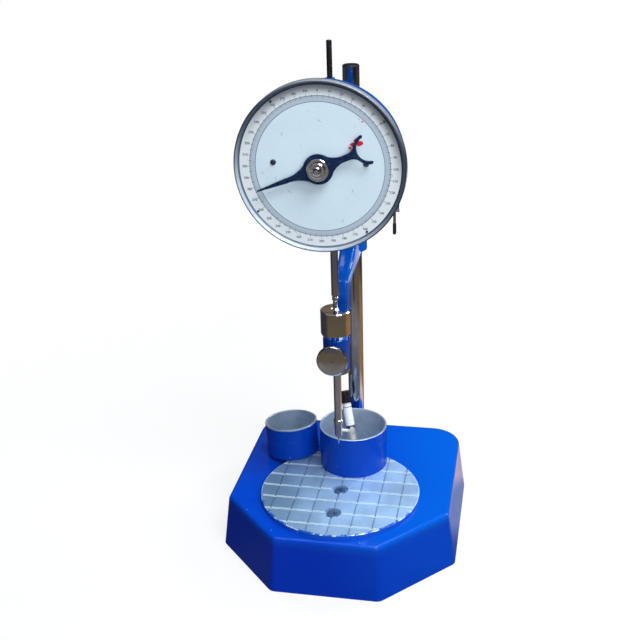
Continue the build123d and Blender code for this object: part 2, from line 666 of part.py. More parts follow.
def rod_top():
    """Turn the thinner top rod with the stud that enters the rack rod."""
    ease = 0.5
    profile = [(0, ROD_TOP - tapped_depth()), (1.6, ROD_TOP - tapped_depth()), (1.6, ROD_TOP), (ROD_TOP_R, ROD_TOP),
               (ROD_TOP_R, ROD_END - ease), (ROD_TOP_R - ease, ROD_END), (0, ROD_END)]
    return turned(profile, PLUNGER)


def pinion():
    """Cut the pinion with involute flanks, one tooth pointing at the rack."""
    base_r = PINION_R * math.cos(math.radians(PRESSURE_ANGLE))
    tip_r = PINION_R + MODULE
    root_r = PINION_R - 1.25 * MODULE
    involute = math.tan(math.radians(PRESSURE_ANGLE)) - math.radians(PRESSURE_ANGLE)
    half_tooth = math.pi / (2 * PINION_TEETH) - FLANK_BACKLASH / PINION_R
    flank = [(root_r, half_tooth + involute)]
    for step in range(6):
        radius = base_r + (tip_r - base_r) * (step / 5) ** 1.5
        angle = math.acos(min(1.0, base_r / radius))
        flank.append((radius, half_tooth + involute - (math.tan(angle) - angle)))
    points = []
    for tooth in range(PINION_TEETH):
        middle = 2 * math.pi * tooth / PINION_TEETH
        points += [(r * math.cos(middle - a), r * math.sin(middle - a)) for r, a in flank]
        points += [(r * math.cos(middle + a), r * math.sin(middle + a)) for r, a in reversed(flank)]
    gear = extrude(make_face(Polyline(*points, close=True)), amount=PINION_FRONT - PINION_BACK)
    gear = DIAL * Pos(0, 0, PINION_BACK) * gear
    gear += rod(4.6, PINION_BACK - 5, PINION_BACK, DIAL)
    return gear - rod(ARBOR_R + SEAT_FIT, PINION_BACK - 6, PINION_FRONT + 1, DIAL)


def arbor():
    """Turn the pointer arbor with eased ends and a collar behind the front bush."""
    ease = 0.4
    profile = [(0, ARBOR_BACK), (ARBOR_R - ease, ARBOR_BACK), (ARBOR_R, ARBOR_BACK + ease), (ARBOR_R, 42.0), (4.2, 42.0),
               (4.2, 44.6), (ARBOR_R, 44.6), (ARBOR_R, ARBOR_FRONT - ease), (ARBOR_R - ease, ARBOR_FRONT),
               (0, ARBOR_FRONT)]
    return turned(profile, DIAL)


def front_arbor_bush():
    """Turn the flanged bush of the arbor in the dial plate."""
    bore = ARBOR_R + RUN_FIT
    return turned([(bore, 45.0), (8.0, 45.0), (8.0, CASE_RIM), (ARBOR_BUSH_R, CASE_RIM), (ARBOR_BUSH_R, 52.0),
                   (bore, 52.0)], DIAL)


def rod_bushes():
    """Return the top and bottom guide bushes of the rack rod by node name."""
    top = tube(TOP_BUSH_R, ROD_TOP_R + RUN_FIT, ROD_BOSS_TOP - 12, ROD_BOSS_TOP, PLUNGER)
    bottom = tube(BOTTOM_BUSH_R, ROD_R + RUN_FIT, ROD_BOSS_BOTTOM, ROD_BOSS_BOTTOM + 13, PLUNGER)
    return {"top_rod_bush": top, "bottom_rod_bush": bottom}


def dial_screw_places():
    """Return the places of the dial screws on the front of the dial plate, facing forward."""
    return [DIAL * Pos(x, DIAL_SCREW_RISE, PLATE_FRONT) for x in (-DIAL_SCREW_STEP, DIAL_SCREW_STEP)]


def dial_case():
    """Turn the round case, with pillars, bosses and bores for the dial screws, arbor and rack rod."""
    bend = [math.radians(15 * step) for step in range(1, 6)]
    centre_r = CASE_REAR_R - CASE_BACK_ROUND
    centre_h = CASE_BACK + CASE_BACK_ROUND
    rounding = [(centre_r + CASE_BACK_ROUND * math.cos(a), centre_h - CASE_BACK_ROUND * math.sin(a)) for a in bend]
    hollow = CASE_BACK_ROUND - CASE_WALL
    inside = [(CASE_INNER_R - hollow + hollow * math.cos(a), centre_h - hollow * math.sin(a)) for a in reversed(bend)]
    profile = [(CASE_INNER_R, CASE_RIM), (CASE_RIM_R, CASE_RIM), (CASE_REAR_R, centre_h), *rounding,
               (centre_r, CASE_BACK), (0, CASE_BACK), (0, CASE_BACK + CASE_WALL),
               (CASE_INNER_R - hollow, CASE_BACK + CASE_WALL), *inside, (CASE_INNER_R, centre_h)]
    case = turned(profile, DIAL)
    case += rod(9.0, CASE_BACK + 1, 21.0, DIAL)
    for place in dial_screw_places():
        case += rod(PILLAR_R, CASE_BACK - PLATE_FRONT + 1, CASE_RIM - PLATE_FRONT, place)
        case -= rod(DIAL_SCREW_R + SEAT_FIT, -14, 1, place)
    case += turned([(0, ROD_BOSS_TOP - 11), (7.4, ROD_BOSS_TOP - 11), (7.4, ROD_BOSS_TOP - 2.4),
                    (5.6, ROD_BOSS_TOP), (0, ROD_BOSS_TOP)], PLUNGER)
    case += rod(9.0, ROD_BOSS_BOTTOM, ROD_BOSS_BOTTOM + 12, PLUNGER)
    case -= rod(TOP_BUSH_R + SEAT_FIT, ROD_BOSS_TOP - 20, ROD_BOSS_TOP + 5, PLUNGER)
    case -= rod(BOTTOM_BUSH_R + SEAT_FIT, ROD_BOSS_BOTTOM - 5, ROD_BOSS_BOTTOM + 20, PLUNGER)
    case -= rod(ARBOR_BUSH_R + SEAT_FIT, CASE_BACK - 1, 30, DIAL)
    for place in case_screw_places():
        case -= rod(CASE_SCREW_R + SEAT_FIT, -20, 0, place)
    return case


def bezel():
    """Turn the bezel, which laps the rim of the case, holds the dial plate and dishes in towards the dial."""
    rim = CASE_RIM_R + SEAT_FIT
    ease = 0.6
    profile = [(rim, BEZEL_BACK), (BEZEL_R - ease, BEZEL_BACK), (BEZEL_R, BEZEL_BACK + ease),
               (BEZEL_R, BEZEL_FRONT - ease), (BEZEL_R - ease, BEZEL_FRONT), (BEZEL_LAND_R, BEZEL_FRONT),
               (BEZEL_INNER_R + ease, PLATE_FRONT + BEZEL_LIP), (BEZEL_INNER_R, PLATE_FRONT + BEZEL_LIP),
               (BEZEL_INNER_R, PLATE_FRONT), (rim, PLATE_FRONT)]
    return turned(profile, DIAL)


def dial_plate():
    """Cut the dial plate with the hole for the arbor's bush and the holes of its screws."""
    plate = rod(PLATE_R, CASE_RIM, PLATE_FRONT, DIAL) - rod(ARBOR_BUSH_R + SEAT_FIT, CASE_RIM - 1, PLATE_FRONT + 1, DIAL)
    for place in dial_screw_places():
        plate -= rod(DIAL_SCREW_R + SEAT_FIT, -4, 1, place)
    return plate


def dial_screws():
    """Return the two screws of the dial plate."""
    return Compound(children=[pan_screw(DIAL_SCREW_HEAD_R, 1.6, DIAL_SCREW_R, 12, p) for p in dial_screw_places()])


def fork():
    """Return the flat fork of the pointer's tail, a ring sector with rounded ends that opens away from the hub."""
    spread = math.radians(FORK_SPREAD)
    reach = 2 * FORK_OUTER_R
    corner = (reach * math.cos(spread), reach * math.sin(spread))
    wedge = Polyline((0, 0), corner, (reach, corner[1]), (reach, -corner[1]), (corner[0], -corner[1]), close=True)
    prongs = (Circle(FORK_OUTER_R) - Circle(FORK_INNER_R)) & make_face(wedge)
    middle = (FORK_OUTER_R + FORK_INNER_R) / 2
    for side in (-1, 1):
        prongs += Pos(middle * math.cos(spread), side * middle * math.sin(spread)) * Circle(1.35)
    return Pos(-FORK_DISTANCE, 0) * prongs


def both_sides(side, end):
    """Return the flat face between a side line above the X axis and its mirror image.

    Args:
        side: curves of the upper side, from the outer end to the hub.
        end: where the outer end crosses the X axis.

    Returns:
        The face in the XY plane.
    """
    inner = side[-1] @ 1
    half = Curve() + side + [Line(inner, (inner.X, 0)), Line((inner.X, 0), (end, 0)), Line((end, 0), side[0] @ 0)]
    face = make_face(half.edges())
    return face + mirror(face, Plane.XZ)


def pointer():
    """Cut the pointer from plate, with a slim blade, a round boss and a forked tail that is set a little askew."""
    blade_side = [Line((POINTER_TIP, 0.6), (33, 2.4)), ThreePointArc((33, 2.4), (21, 3.75), (11.4, 8.4))]
    tail_side = [ThreePointArc((-38.9, 7.1), (-35.2, 4.1), (-31, 3.0)), Line((-31, 3.0), (-24, 3.0)),
                 ThreePointArc((-24, 3.0), (-17.5, 4.6), (-11.4, 8.4))]
    tail = both_sides(tail_side, FORK_INNER_R - FORK_DISTANCE) + fork()
    flat = Circle(POINTER_BOSS_R) + both_sides(blade_side, POINTER_TIP) + Rot(0, 0, TAIL_SWING) * tail
    cut = extrude(Pos(0, 0, POINTER_BACK) * flat, amount=POINTER_FRONT - POINTER_BACK)
    cut += rod(POINTER_BOSS_R - 2.2, POINTER_BOSS_BACK, POINTER_BOSS_FRONT)
    cut -= rod(ARBOR_R + RUN_FIT, POINTER_BOSS_BACK - 1, POINTER_BOSS_FRONT + 1)
    return DIAL * Rot(0, 0, 90 - POINTER_TURN) * cut


def hub_nut():
    """Turn the stepped nut in front of the pointer, with a domed end."""
    bore = ARBOR_R + RUN_FIT
    start = POINTER_BOSS_FRONT + REST_GAP
    profile = [(bore, start), (NUT_RING_R - 0.4, start), (NUT_RING_R, start + 0.4), (NUT_RING_R, 59.6),
               (NUT_RING_R - 0.4, 60.0), (NUT_STEP_R, 60.0), (NUT_STEP_R, 62.4), (NUT_STEP_R - 0.6, 63.0),
               (NUT_DOME_R, 63.0), (NUT_DOME_R, 64.6), (NUT_DOME_R - 0.8, 65.5), (NUT_DOME_R - 2.2, 66.0), (0, 66.0),
               (0, ARBOR_FRONT + 0.4), (bore, ARBOR_FRONT + 0.4)]
    return turned(profile, DIAL)


def clamp_screw():
    """Turn the clamp screw and drill its head for the tommy bar."""
    ease = 0.8
    profile = [(0, CLAMP_SCREW_TIP), (CLAMP_SCREW_R - ease, CLAMP_SCREW_TIP), (CLAMP_SCREW_R, CLAMP_SCREW_TIP + ease),
               (CLAMP_SCREW_R, CLAMP_HEAD_START), (CLAMP_HEAD_R - ease, CLAMP_HEAD_START),
               (CLAMP_HEAD_R, CLAMP_HEAD_START + ease), (CLAMP_HEAD_R, CLAMP_HEAD_END - ease),
               (CLAMP_HEAD_R - ease, CLAMP_HEAD_END), (0, CLAMP_HEAD_END)]
    return turned(profile, CLAMP) - Pos(BAR_X, COLUMN_Y, 0) * rod(BAR_R + RUN_FIT, CLAMP_Z - 20, CLAMP_Z + 20)


def tommy_bar_ends():
    """Turn the two end caps of the tommy bar, each with a rounded end."""
    bore = BAR_R + SEAT_FIT
    ease = 0.9
    cap = [(0, 0), (BAR_END_R - ease, 0), (BAR_END_R, ease), (BAR_END_R, BAR_END_LENGTH), (bore, BAR_END_LENGTH),
           (bore, 1.5), (0, 1.5)]
    low = turned(cap, Location((BAR_X, COLUMN_Y, BAR_BOTTOM)))
    high = turned(cap, Plane(origin=(BAR_X, COLUMN_Y, BAR_TOP), x_dir=(1, 0, 0), z_dir=(0, 0, -1)).location)
    return Compound(children=[low, high])


def cup(radius, height, floor, place):
    """Turn an open cup with an eased foot, a rounded inner corner and an eased rim.

    Args:
        radius: outside radius.
        height: outside height.
        floor: thickness of the floor.
        place: location of the middle of the underside.

    Returns:
        The cup as one solid.
    """
    inner = radius - CUP_WALL
    foot = CUP_FOOT_CHAMFER
    ease = 0.4
    profile = [(0, 0), (radius - foot, 0), (radius, foot), (radius, height - ease), (radius - ease, height),
               (inner + ease, height), (inner, height - ease), (inner, floor + 2.0), (inner - 0.6, floor + 0.6),
               (inner - 2.0, floor), (0, floor)]
    return turned(profile, place)


def small_cup_place():
    """Return the place of the small cup, which leans outward with one edge on the raised bed."""
    out = Vector(SMALL_CUP_X, SMALL_CUP_Y - PLUNGER_Y, 0).normalized()
    tilt = math.radians(SMALL_CUP_TILT)
    lift = BASE_TOP + REST_GAP + (SMALL_CUP_R - CUP_FOOT_CHAMFER) * math.sin(tilt)
    axis = out * math.sin(tilt) + Vector(0, 0, math.cos(tilt))
    return Plane(origin=(SMALL_CUP_X, SMALL_CUP_Y, lift), z_dir=axis).location


def vial():
    """Return the pieces of the leaning vial by node name."""
    axis = Vector(*VIAL_AXIS).normalized()
    lean = math.sqrt(1 - axis.Z ** 2)
    foot_z = BED_TOP + LARGE_CUP_FLOOR + VIAL_R * lean + REST_GAP
    place = Plane(origin=(VIAL_FOOT_X, VIAL_FOOT_Y, foot_z), z_dir=axis).location
    ease = 0.6
    glass = turned([(0, 0), (VIAL_R - ease, 0), (VIAL_R, ease), (VIAL_R, VIAL_LENGTH), (VIAL_BORE_R, VIAL_LENGTH),
                    (VIAL_BORE_R, VIAL_FLOOR), (0, VIAL_FLOOR)], place)
    sleeve = tube(LABEL_R, VIAL_R + 0.01, LABEL_START, LABEL_END, place)
    bore = VIAL_R + RUN_FIT
    ledge = VIAL_LENGTH + REST_GAP
    cap = turned([(bore, CAP_START), (CAP_R - 0.3, CAP_START), (CAP_R, CAP_START + 0.3), (CAP_R, CAP_END - ease),
                  (CAP_R - ease, CAP_END), (0, CAP_END), (0, ledge), (bore, ledge)], place)
    spare = needle(VIAL_FLOOR + 0.1, SPARE_NEEDLE_R, NEEDLE_LENGTH, place * Pos(1.8, 0.8, 0))
    return {"vial_tube": glass, "vial_label": sleeve, "vial_cap": cap, "vial_needle": spare}


def pieces():
    """Return every piece of the penetrometer by node name."""
    made = {
        "base_casting": base_casting(),
        "bed_plate": bed_plate(),
        "bed_screws": bed_screws(),
        "column": column(),
        "column_washer": tube(WASHER_R, SHANK_R + 0.3, NUT_TOP, COLUMN_LUG_BOTTOM, COLUMN),
        "column_nut": column_nut(),
        "column_bush": tube(SLEEVE_R, COLUMN_R + RUN_FIT, COLLAR_BOTTOM + 0.5, COLLAR_TOP - 0.5, COLUMN),
        "head_casting": head_casting(),
        "case_screws": case_screws(),
        "clutch_barrel": clutch_barrel(),
        "clutch_cover": clutch_cover(),
        "cover_screws": cover_screws(),
        "clutch_jaw": clutch_jaw(),
        "release_button": release_button(),
        "button_spring": button_spring(),
        "plunger_spindle": plunger_spindle(),
        "needle_chuck": needle_chuck(),
        "chuck_thumbscrew": chuck_thumbscrew(),
        "needle": needle(NEEDLE_TIP, NEEDLE_R, NEEDLE_LENGTH, PLUNGER),
        "rack_rod": rack_rod(),
        "rod_top": rod_top(),
        "pinion": pinion(),
        "arbor": arbor(),
        "front_arbor_bush": front_arbor_bush(),
        "rear_arbor_bush": tube(ARBOR_BUSH_R, ARBOR_R + RUN_FIT, CASE_BACK, 21.0, DIAL),
        "dial_case": dial_case(),
        "bezel": bezel(),
        "dial_plate": dial_plate(),
        "dial_screws": dial_screws(),
        "pointer": pointer(),
        "hub_nut": hub_nut(),
        "clamp_screw": clamp_screw(),
        "tommy_bar": Pos(BAR_X, COLUMN_Y, 0) * rod(BAR_R, BAR_BOTTOM + 1.6, BAR_TOP - 1.6),
        "tommy_bar_ends": tommy_bar_ends(),
        "large_cup": cup(LARGE_CUP_R, LARGE_CUP_HEIGHT, LARGE_CUP_FLOOR,
                         Location((LARGE_CUP_X, LARGE_CUP_Y, BED_TOP))),
        "small_cup": cup(SMALL_CUP_R, SMALL_CUP_HEIGHT, SMALL_CUP_FLOOR, small_cup_place()),
    }
    made.update(rod_bushes())
    made.update(vial())
    return made


os.makedirs("parts", exist_ok=True)
for node, shape in pieces().items():
    export_step(shape, f"parts/{node}.step")
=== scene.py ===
"""Looks of a bench penetrometer: its finishes, printed dial and small fittings, the studio and the camera.

Sizes are in millimetres, angles in radians and colours linear, where nothing else is said.
"""

import logging
import math
from dataclasses import dataclass
from enum import Enum
from functools import cached_property, partialmethod, reduce

import bmesh
import bpy
import numpy as np
from mathutils import Matrix, Vector


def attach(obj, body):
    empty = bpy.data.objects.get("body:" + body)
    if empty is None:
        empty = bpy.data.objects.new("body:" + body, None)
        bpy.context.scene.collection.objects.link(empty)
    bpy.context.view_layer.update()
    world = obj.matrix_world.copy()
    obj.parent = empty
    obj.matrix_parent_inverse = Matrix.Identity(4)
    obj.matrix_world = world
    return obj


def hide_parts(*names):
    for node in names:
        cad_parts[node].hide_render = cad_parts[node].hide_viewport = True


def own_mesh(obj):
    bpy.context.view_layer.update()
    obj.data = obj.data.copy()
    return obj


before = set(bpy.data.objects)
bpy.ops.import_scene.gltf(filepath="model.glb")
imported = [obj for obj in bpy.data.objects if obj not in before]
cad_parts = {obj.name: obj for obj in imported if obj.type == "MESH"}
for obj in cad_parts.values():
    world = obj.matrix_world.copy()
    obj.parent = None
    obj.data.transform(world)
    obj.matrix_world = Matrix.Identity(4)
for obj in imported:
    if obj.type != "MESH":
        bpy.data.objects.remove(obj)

LOG = logging.getLogger("penetrometer")
MM = 0.001
TURN = 2 * math.pi
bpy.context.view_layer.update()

Material = bpy.types.Material
Mesh = bpy.types.Mesh
Pair = tuple[float, float]
Triple = tuple[float, float, float]


# Surfaces


HEAD_STEPS = 72  # columns round a screw's head
THREAD_STEPS = 36  # columns round a thread
THREAD_ROWS = 8  # rows in each pitch of a thread
WIRE_STEPS = 12  # columns round a spring's wire
COIL_ROWS = 40  # rows in each turn of a spring
RING_STEPS = 240  # columns round a printed ring
DAB_STEPS = 40  # columns round a dab of paint
FLOOR_STEPS = 13  # rows and columns of the floor
CARD_STEPS = 97  # columns round the card, the last on the first
WELD = 1e-7  # distance in metres below which points are merged
TYPE_SIZE = 1.38  # size of the numerals' type, as a multiple of their height

# Outline of a pan head, from the middle of its top to that of its seat: shares of its radius and height.
PAN_HEAD = np.array([
    (0.0, 1.0), (0.12, 1.0), (0.2, 0.995), (0.28, 0.99), (0.4, 0.975), (0.55, 0.945), (0.7, 0.9),
    (0.82, 0.85), (0.92, 0.77), (0.98, 0.66), (1.0, 0.5), (1.0, 0.0), (0.0, 0.0)])
SLOT_FLOOR = 0.42  # height of a slot's floor, as a share of the head's
SLOT_WALL = 0.25  # run of a slot's wall, as a share of its half width

THREAD_SLOPE = 1.35  # slope of a thread's wave, which leaves flats at crest and root
THREAD_FLAT = 0.15  # share of the wave that the root's flat takes
THREAD_LIFT = 0.01  # height of a thread's root above the shank
THREAD_SINK = 0.2  # depth of its two end rows below the root
THREAD_SHARP = 60.0  # angle in degrees past which its edges stay sharp

# Outline of a dab, from the middle of its front to that of its back: share of its radius, and which face.
DAB_OUTLINE = np.array([
    (0.0, 1.0), (0.35, 1.0), (0.65, 1.0), (0.88, 1.0), (1.0, 0.0), (0.88, -1.0), (0.65, -1.0), (0.35, -1.0),
    (0.0, -1.0)])

# Radius and height of the card's rows: flat on the floor, then rising and closing over the lights.
CARD_OUTLINE = np.array([
    (60, -0.1), (260, -0.1), (420, -0.1), (650, -0.1), (900, 0), (1150, 20), (1350, 90), (1480, 240),
    (1560, 620), (1600, 1500), (1600, 2300), (1400, 2700), (0, 2800)])


class Facing(Enum):
    """Way that the local z axis of a piece points."""

    UP = (0.0, 0.0, 1.0)
    DOWN = (0.0, 0.0, -1.0)
    FRONT = (0.0, -1.0, 0.0)
    BACK = (0.0, 1.0, 0.0)
    RIGHT = (1.0, 0.0, 0.0)


@dataclass(frozen=True)
class Place:
    """Origin in millimetres and direction of the local z axis."""

    origin: Triple
    axis: Triple = Facing.UP.value

    def turn(self) -> Matrix:
        """Return the rotation that carries local axes to the frame of the object."""
        return Vector(Facing.UP.value).rotation_difference(Vector(self.axis)).to_matrix()

    def out(self, local: np.ndarray) -> np.ndarray:
        """Carry local points, whose last dimension is x, y, z in millimetres, to the frame of the object."""
        return np.asarray(self.origin) + local @ np.array(self.turn()).T


class Weave(Enum):
    """Way in which quads join the points of a surface."""

    GRID = "between neighbouring rows and columns"
    RING = "the same, and the last column with the first"
    LOOSE = "each row of four points by itself"


@dataclass
class Surface:
    """Points in rows and columns, joined by quads."""

    points: np.ndarray  # rows by columns by 3
    weave: Weave = Weave.RING

    def quads(self) -> np.ndarray:
        """Work out the corner numbers of the quads.

        Returns:
            Quads by 4, wound row by row.
        """
        rows, columns = self.points.shape[:2]
        grid = np.arange(rows * columns).reshape(rows, columns)
        if self.weave is Weave.LOOSE:
            return grid
        if self.weave is Weave.RING:
            grid = np.hstack([grid, grid[:, :1]])
        corners = (grid[:-1, :-1], grid[:-1, 1:], grid[1:, 1:], grid[1:, :-1])
        return np.stack(corners, axis=-1).reshape(-1, 4)


def around(steps: int) -> np.ndarray:
    """Return angles at even steps round one turn."""
    return np.linspace(0, TURN, steps, endpoint=False)


def polar(radius: np.ndarray | float, angle: np.ndarray, height: np.ndarray | float) -> np.ndarray:
    """Return the points (radius cos angle, radius sin angle, height)."""
    return np.stack(np.broadcast_arrays(radius * np.cos(angle), radius * np.sin(angle), height), axis=-1)


@dataclass(frozen=True)
class SlottedHead:
    """Pan head of a screw, in millimetres."""

    radius: float
    height: float
    slot: float  # half width of the slot

    def shape(self, place: Place) -> Surface:
        """Turn the outline of a pan head and let its top sink to the slot's floor where |y| < slot.

        Args:
            place: seat of the head, with the axis out of the seat.

        Returns:
            Closed surface, from the middle of the top to the middle of the seat.
        """
        across, rise = PAN_HEAD.T[:, :, None]
        points = polar(self.radius * across, around(HEAD_STEPS), self.height * rise)
        y, z = points[..., 1], points[..., 2]
        floor = SLOT_FLOOR * self.height
        wall = np.clip((np.abs(y) - self.slot) / (SLOT_WALL * self.slot), 0, 1)
        points[..., 2] = np.where(z > floor, floor + (z - floor) * wall, z)
        return Surface(place.out(points))


@dataclass(frozen=True)
class Thread:
    """Bare thread of a screw, in millimetres."""

    shank: float  # radius of the shank below it
    depth: float  # height of its crest above the shank
    pitch: float
    span: Pair  # places of its two ends along the axis

    def shape(self, place: Place) -> Surface:
        """Wind the thread: at height h and angle a the radius is a triangle wave of h / pitch - a / one turn.

        Args:
            place: axis of the screw.

        Returns:
            Ring surface that fades out at both ends, where it sinks below the root.
        """
        start, end = self.span
        root = self.shank + THREAD_LIFT
        height = np.linspace(start, end, int(THREAD_ROWS * (end - start) / self.pitch))[:, None]
        angle = around(THREAD_STEPS)
        wave = np.abs(2 * np.mod(height / self.pitch - angle / TURN, 1.0) - 1)
        flank = np.clip(THREAD_SLOPE * wave - THREAD_FLAT, 0, 1)
        fade = np.clip(np.minimum(height - start, end - height) / self.pitch, 0, 1)
        radius = root + (self.depth - THREAD_LIFT) * flank * fade
        radius[[0, -1]] = root - THREAD_SINK
        return Surface(place.out(polar(radius, angle, height)))


def coil(radius: float, wire: float, turns: float, span: Pair, place: Place) -> Surface:
    """Carry a circle of the wire's radius along a helix and close both ends at the centre line.

    Args:
        radius: radius of the centre line.
        wire: radius of the wire.
        turns: number of turns.
        span: heights of the centre line's two ends.
        place: axis of the helix.

    Returns:
        Closed ring surface, rows along the wire.
    """
    along = np.linspace(0, 1, int(turns * COIL_ROWS) + 1)
    angle = TURN * turns * along
    centre = polar(radius, angle, span[0] + (span[1] - span[0]) * along)
    outward = polar(1.0, angle, 0.0)
    tangent = np.gradient(centre, axis=0)
    tangent /= np.linalg.norm(tangent, axis=1, keepdims=True)
    side = np.cross(tangent, outward)
    round_wire = around(WIRE_STEPS)[:, None]
    circle = outward[:, None] * np.cos(round_wire) + side[:, None] * np.sin(round_wire)
    size = np.full((len(along), 1, 1), wire)
    size[[0, -1]] = 0.0
    return Surface(place.out(centre[:, None] + circle * size))


def flat_ring(inner: float, outer: float, height: float, place: Place) -> Surface:
    """Lay a flat ring: two rows, at the outer and the inner radius, at one height."""
    return Surface(place.out(polar(np.array([[outer], [inner]]), around(RING_STEPS), height)))


def dab(centre: Pair, size: float, phase: float, thick: float, height: float, place: Place) -> Surface:
    """Spread a dab of paint: its edge is a circle with three cosine lobes, and its two faces bulge to a dome.

    Args:
        centre: middle of the dab in the local plane.
        size: mean radius.
        phase: angle that turns the lobes.
        thick: thickness in the middle.
        height: local height of the middle of its thickness.
        place: plane of the dab.

    Returns:
        Closed ring surface, from the middle of the front to the middle of the back.
    """
    angle = around(DAB_STEPS)
    across, face = DAB_OUTLINE.T[:, :, None]
    edge = size * (1 + 0.2 * np.cos(2 * angle + phase) + 0.13 * np.cos(3 * angle - 2 * phase)
                   + 0.08 * np.cos(7 * angle + 3 * phase))
    bulge = 0.5 * thick * face * np.sqrt(1 - across ** 2)
    return Surface(place.out(polar(across * edge, angle, bulge) + (*centre, height)))


def strokes(angle: np.ndarray, inner: float, outer: np.ndarray, width: np.ndarray, height: float,
            place: Place) -> Surface:
    """Draw radial strokes: each is a quad between two radii at an angle clockwise from the local y axis.

    Args:
        angle: angle of each stroke in radians.
        inner: inner radius of all strokes.
        outer: outer radius of each stroke.
        width: width of each stroke.
        height: local height of all strokes.
        place: plane of the strokes.

    Returns:
        Surface of four points per stroke, one stroke per row.
    """
    out, right = polar(1.0, TURN / 4 - angle, 0.0)[:, None], polar(1.0, -angle, 0.0)[:, None]
    reach = np.stack(np.broadcast_arrays(inner, inner, outer, outer), axis=-1)[..., None]
    shift = np.stack([-width, width, width, -width], axis=-1)[..., None] / 2
    return Surface(place.out(out * reach + right * shift + (0.0, 0.0, height)), Weave.LOOSE)


def mesh_of(name: str, surfaces: list[Surface], sharp_deg: float = 35.0, printed: bool = False) -> Mesh:
    """Put surfaces into one mesh in metres, merge doubled points and shade it smooth up to an angle.

    Args:
        name: name of the mesh.
        surfaces: surfaces in millimetres.
        sharp_deg: angle past which an edge stays sharp.
        printed: whether it is a flat print, which stays as its points are.

    Returns:
        The mesh.
    """
    starts = np.cumsum([0] + [s.points.size // 3 for s in surfaces])
    points = np.concatenate([s.points.reshape(-1, 3) for s in surfaces]) * MM
    quads = np.concatenate([s.quads() + start for s, start in zip(surfaces, starts)])
    mesh = bpy.data.meshes.new(name)
    mesh.from_pydata(points.tolist(), [], quads.tolist())
    if not printed:
        work = bmesh.new()
        work.from_mesh(mesh)
        bmesh.ops.remove_doubles(work, verts=work.verts, dist=WELD)
        bmesh.ops.recalc_face_normals(work, faces=work.faces)
        work.to_mesh(mesh)
        work.free()
        mesh.polygons.foreach_set("use_smooth", np.ones(len(mesh.polygons), dtype=bool))
        mesh.set_sharp_from_angle(angle=math.radians(sharp_deg))
    mesh.update()
    return mesh


def add_object(mesh: Mesh, material: Material) -> bpy.types.Object:
    """Put a mesh into the scene.

    Args:
        mesh: mesh whose points are in place.
        material: its finish.

    Returns:
        The object, at the origin.
    """
    mesh.materials.append(material)
    thing = bpy.data.objects.new(mesh.name, mesh)
    bpy.context.scene.collection.objects.link(thing)
    return thing


def add_piece(mesh: Mesh, material: Material, body: str) -> bpy.types.Object:
    """Make a piece of a mesh that rides a body, and report it.

    Args:
        mesh: mesh whose points are in place.
        material: its finish.
        body: name of the body that carries it.

    Returns:
        The object, at the origin.
    """
    piece = add_object(mesh, material)
    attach(piece, body)
    LOG.info("%s: %d faces on %s", mesh.name, len(mesh.polygons), body)
    return piece


# Finishes


class Sum(Enum):
    """Operations of the Math node that the finishes use."""

    ADD = "ADD"
    SUBTRACT = "SUBTRACT"
    MULTIPLY = "MULTIPLY"
    DIVIDE = "DIVIDE"
    MAX = "MAXIMUM"
    ABS = "ABSOLUTE"
    ROOT = "SQRT"
    OVER = "GREATER_THAN"
    UNDER = "LESS_THAN"
    PART = "FRACT"
    ARCTAN = "ARCTAN2"


@dataclass(frozen=True, eq=False)
class Term:
    """Output of a node, which takes part in sums as a number does."""

    graph: "Graph"
    socket: bpy.types.NodeSocket

    def sum(self, kind: Sum, other: "Value" = 0.0) -> "Term":
        """Return the result of a Math node with this term first."""
        return self.graph.add("Math", {0: self, 1: other}, operation=kind.value)[0]

    __add__ = partialmethod(sum, Sum.ADD)
    __sub__ = partialmethod(sum, Sum.SUBTRACT)
    __mul__ = partialmethod(sum, Sum.MULTIPLY)
    __truediv__ = partialmethod(sum, Sum.DIVIDE)
    __gt__ = partialmethod(sum, Sum.OVER)
    __lt__ = partialmethod(sum, Sum.UNDER)
    __abs__ = partialmethod(sum, Sum.ABS)
    peak = partialmethod(sum, Sum.MAX)

    def __rsub__(self, other: float) -> "Term":
        """Return this taken away from a number."""
        return self.graph.add("Math", {0: other, 1: self}, operation=Sum.SUBTRACT.value)[0]

    def span(self, low: float, high: float, start: float = 0.0, end: float = 1.0) -> "Term":
        """Carry low to high into start to end, smoothly and held at its ends."""
        inputs = dict(enumerate((self, low, high, start, end)))
        return self.graph.add("MapRange", inputs, interpolation_type="SMOOTHSTEP")[0]

    def span_mm(self, low: float, high: float, start: float = 0.0, end: float = 1.0) -> "Term":
        """Carry a length over as span does, with low and high in millimetres."""
        return self.span(low * MM, high * MM, start, end)


Value = float | Triple | Term
SIGHT = ("Is Camera Ray", "Is Glossy Ray", "Is Transmission Ray")  # rays by which a thing is seen


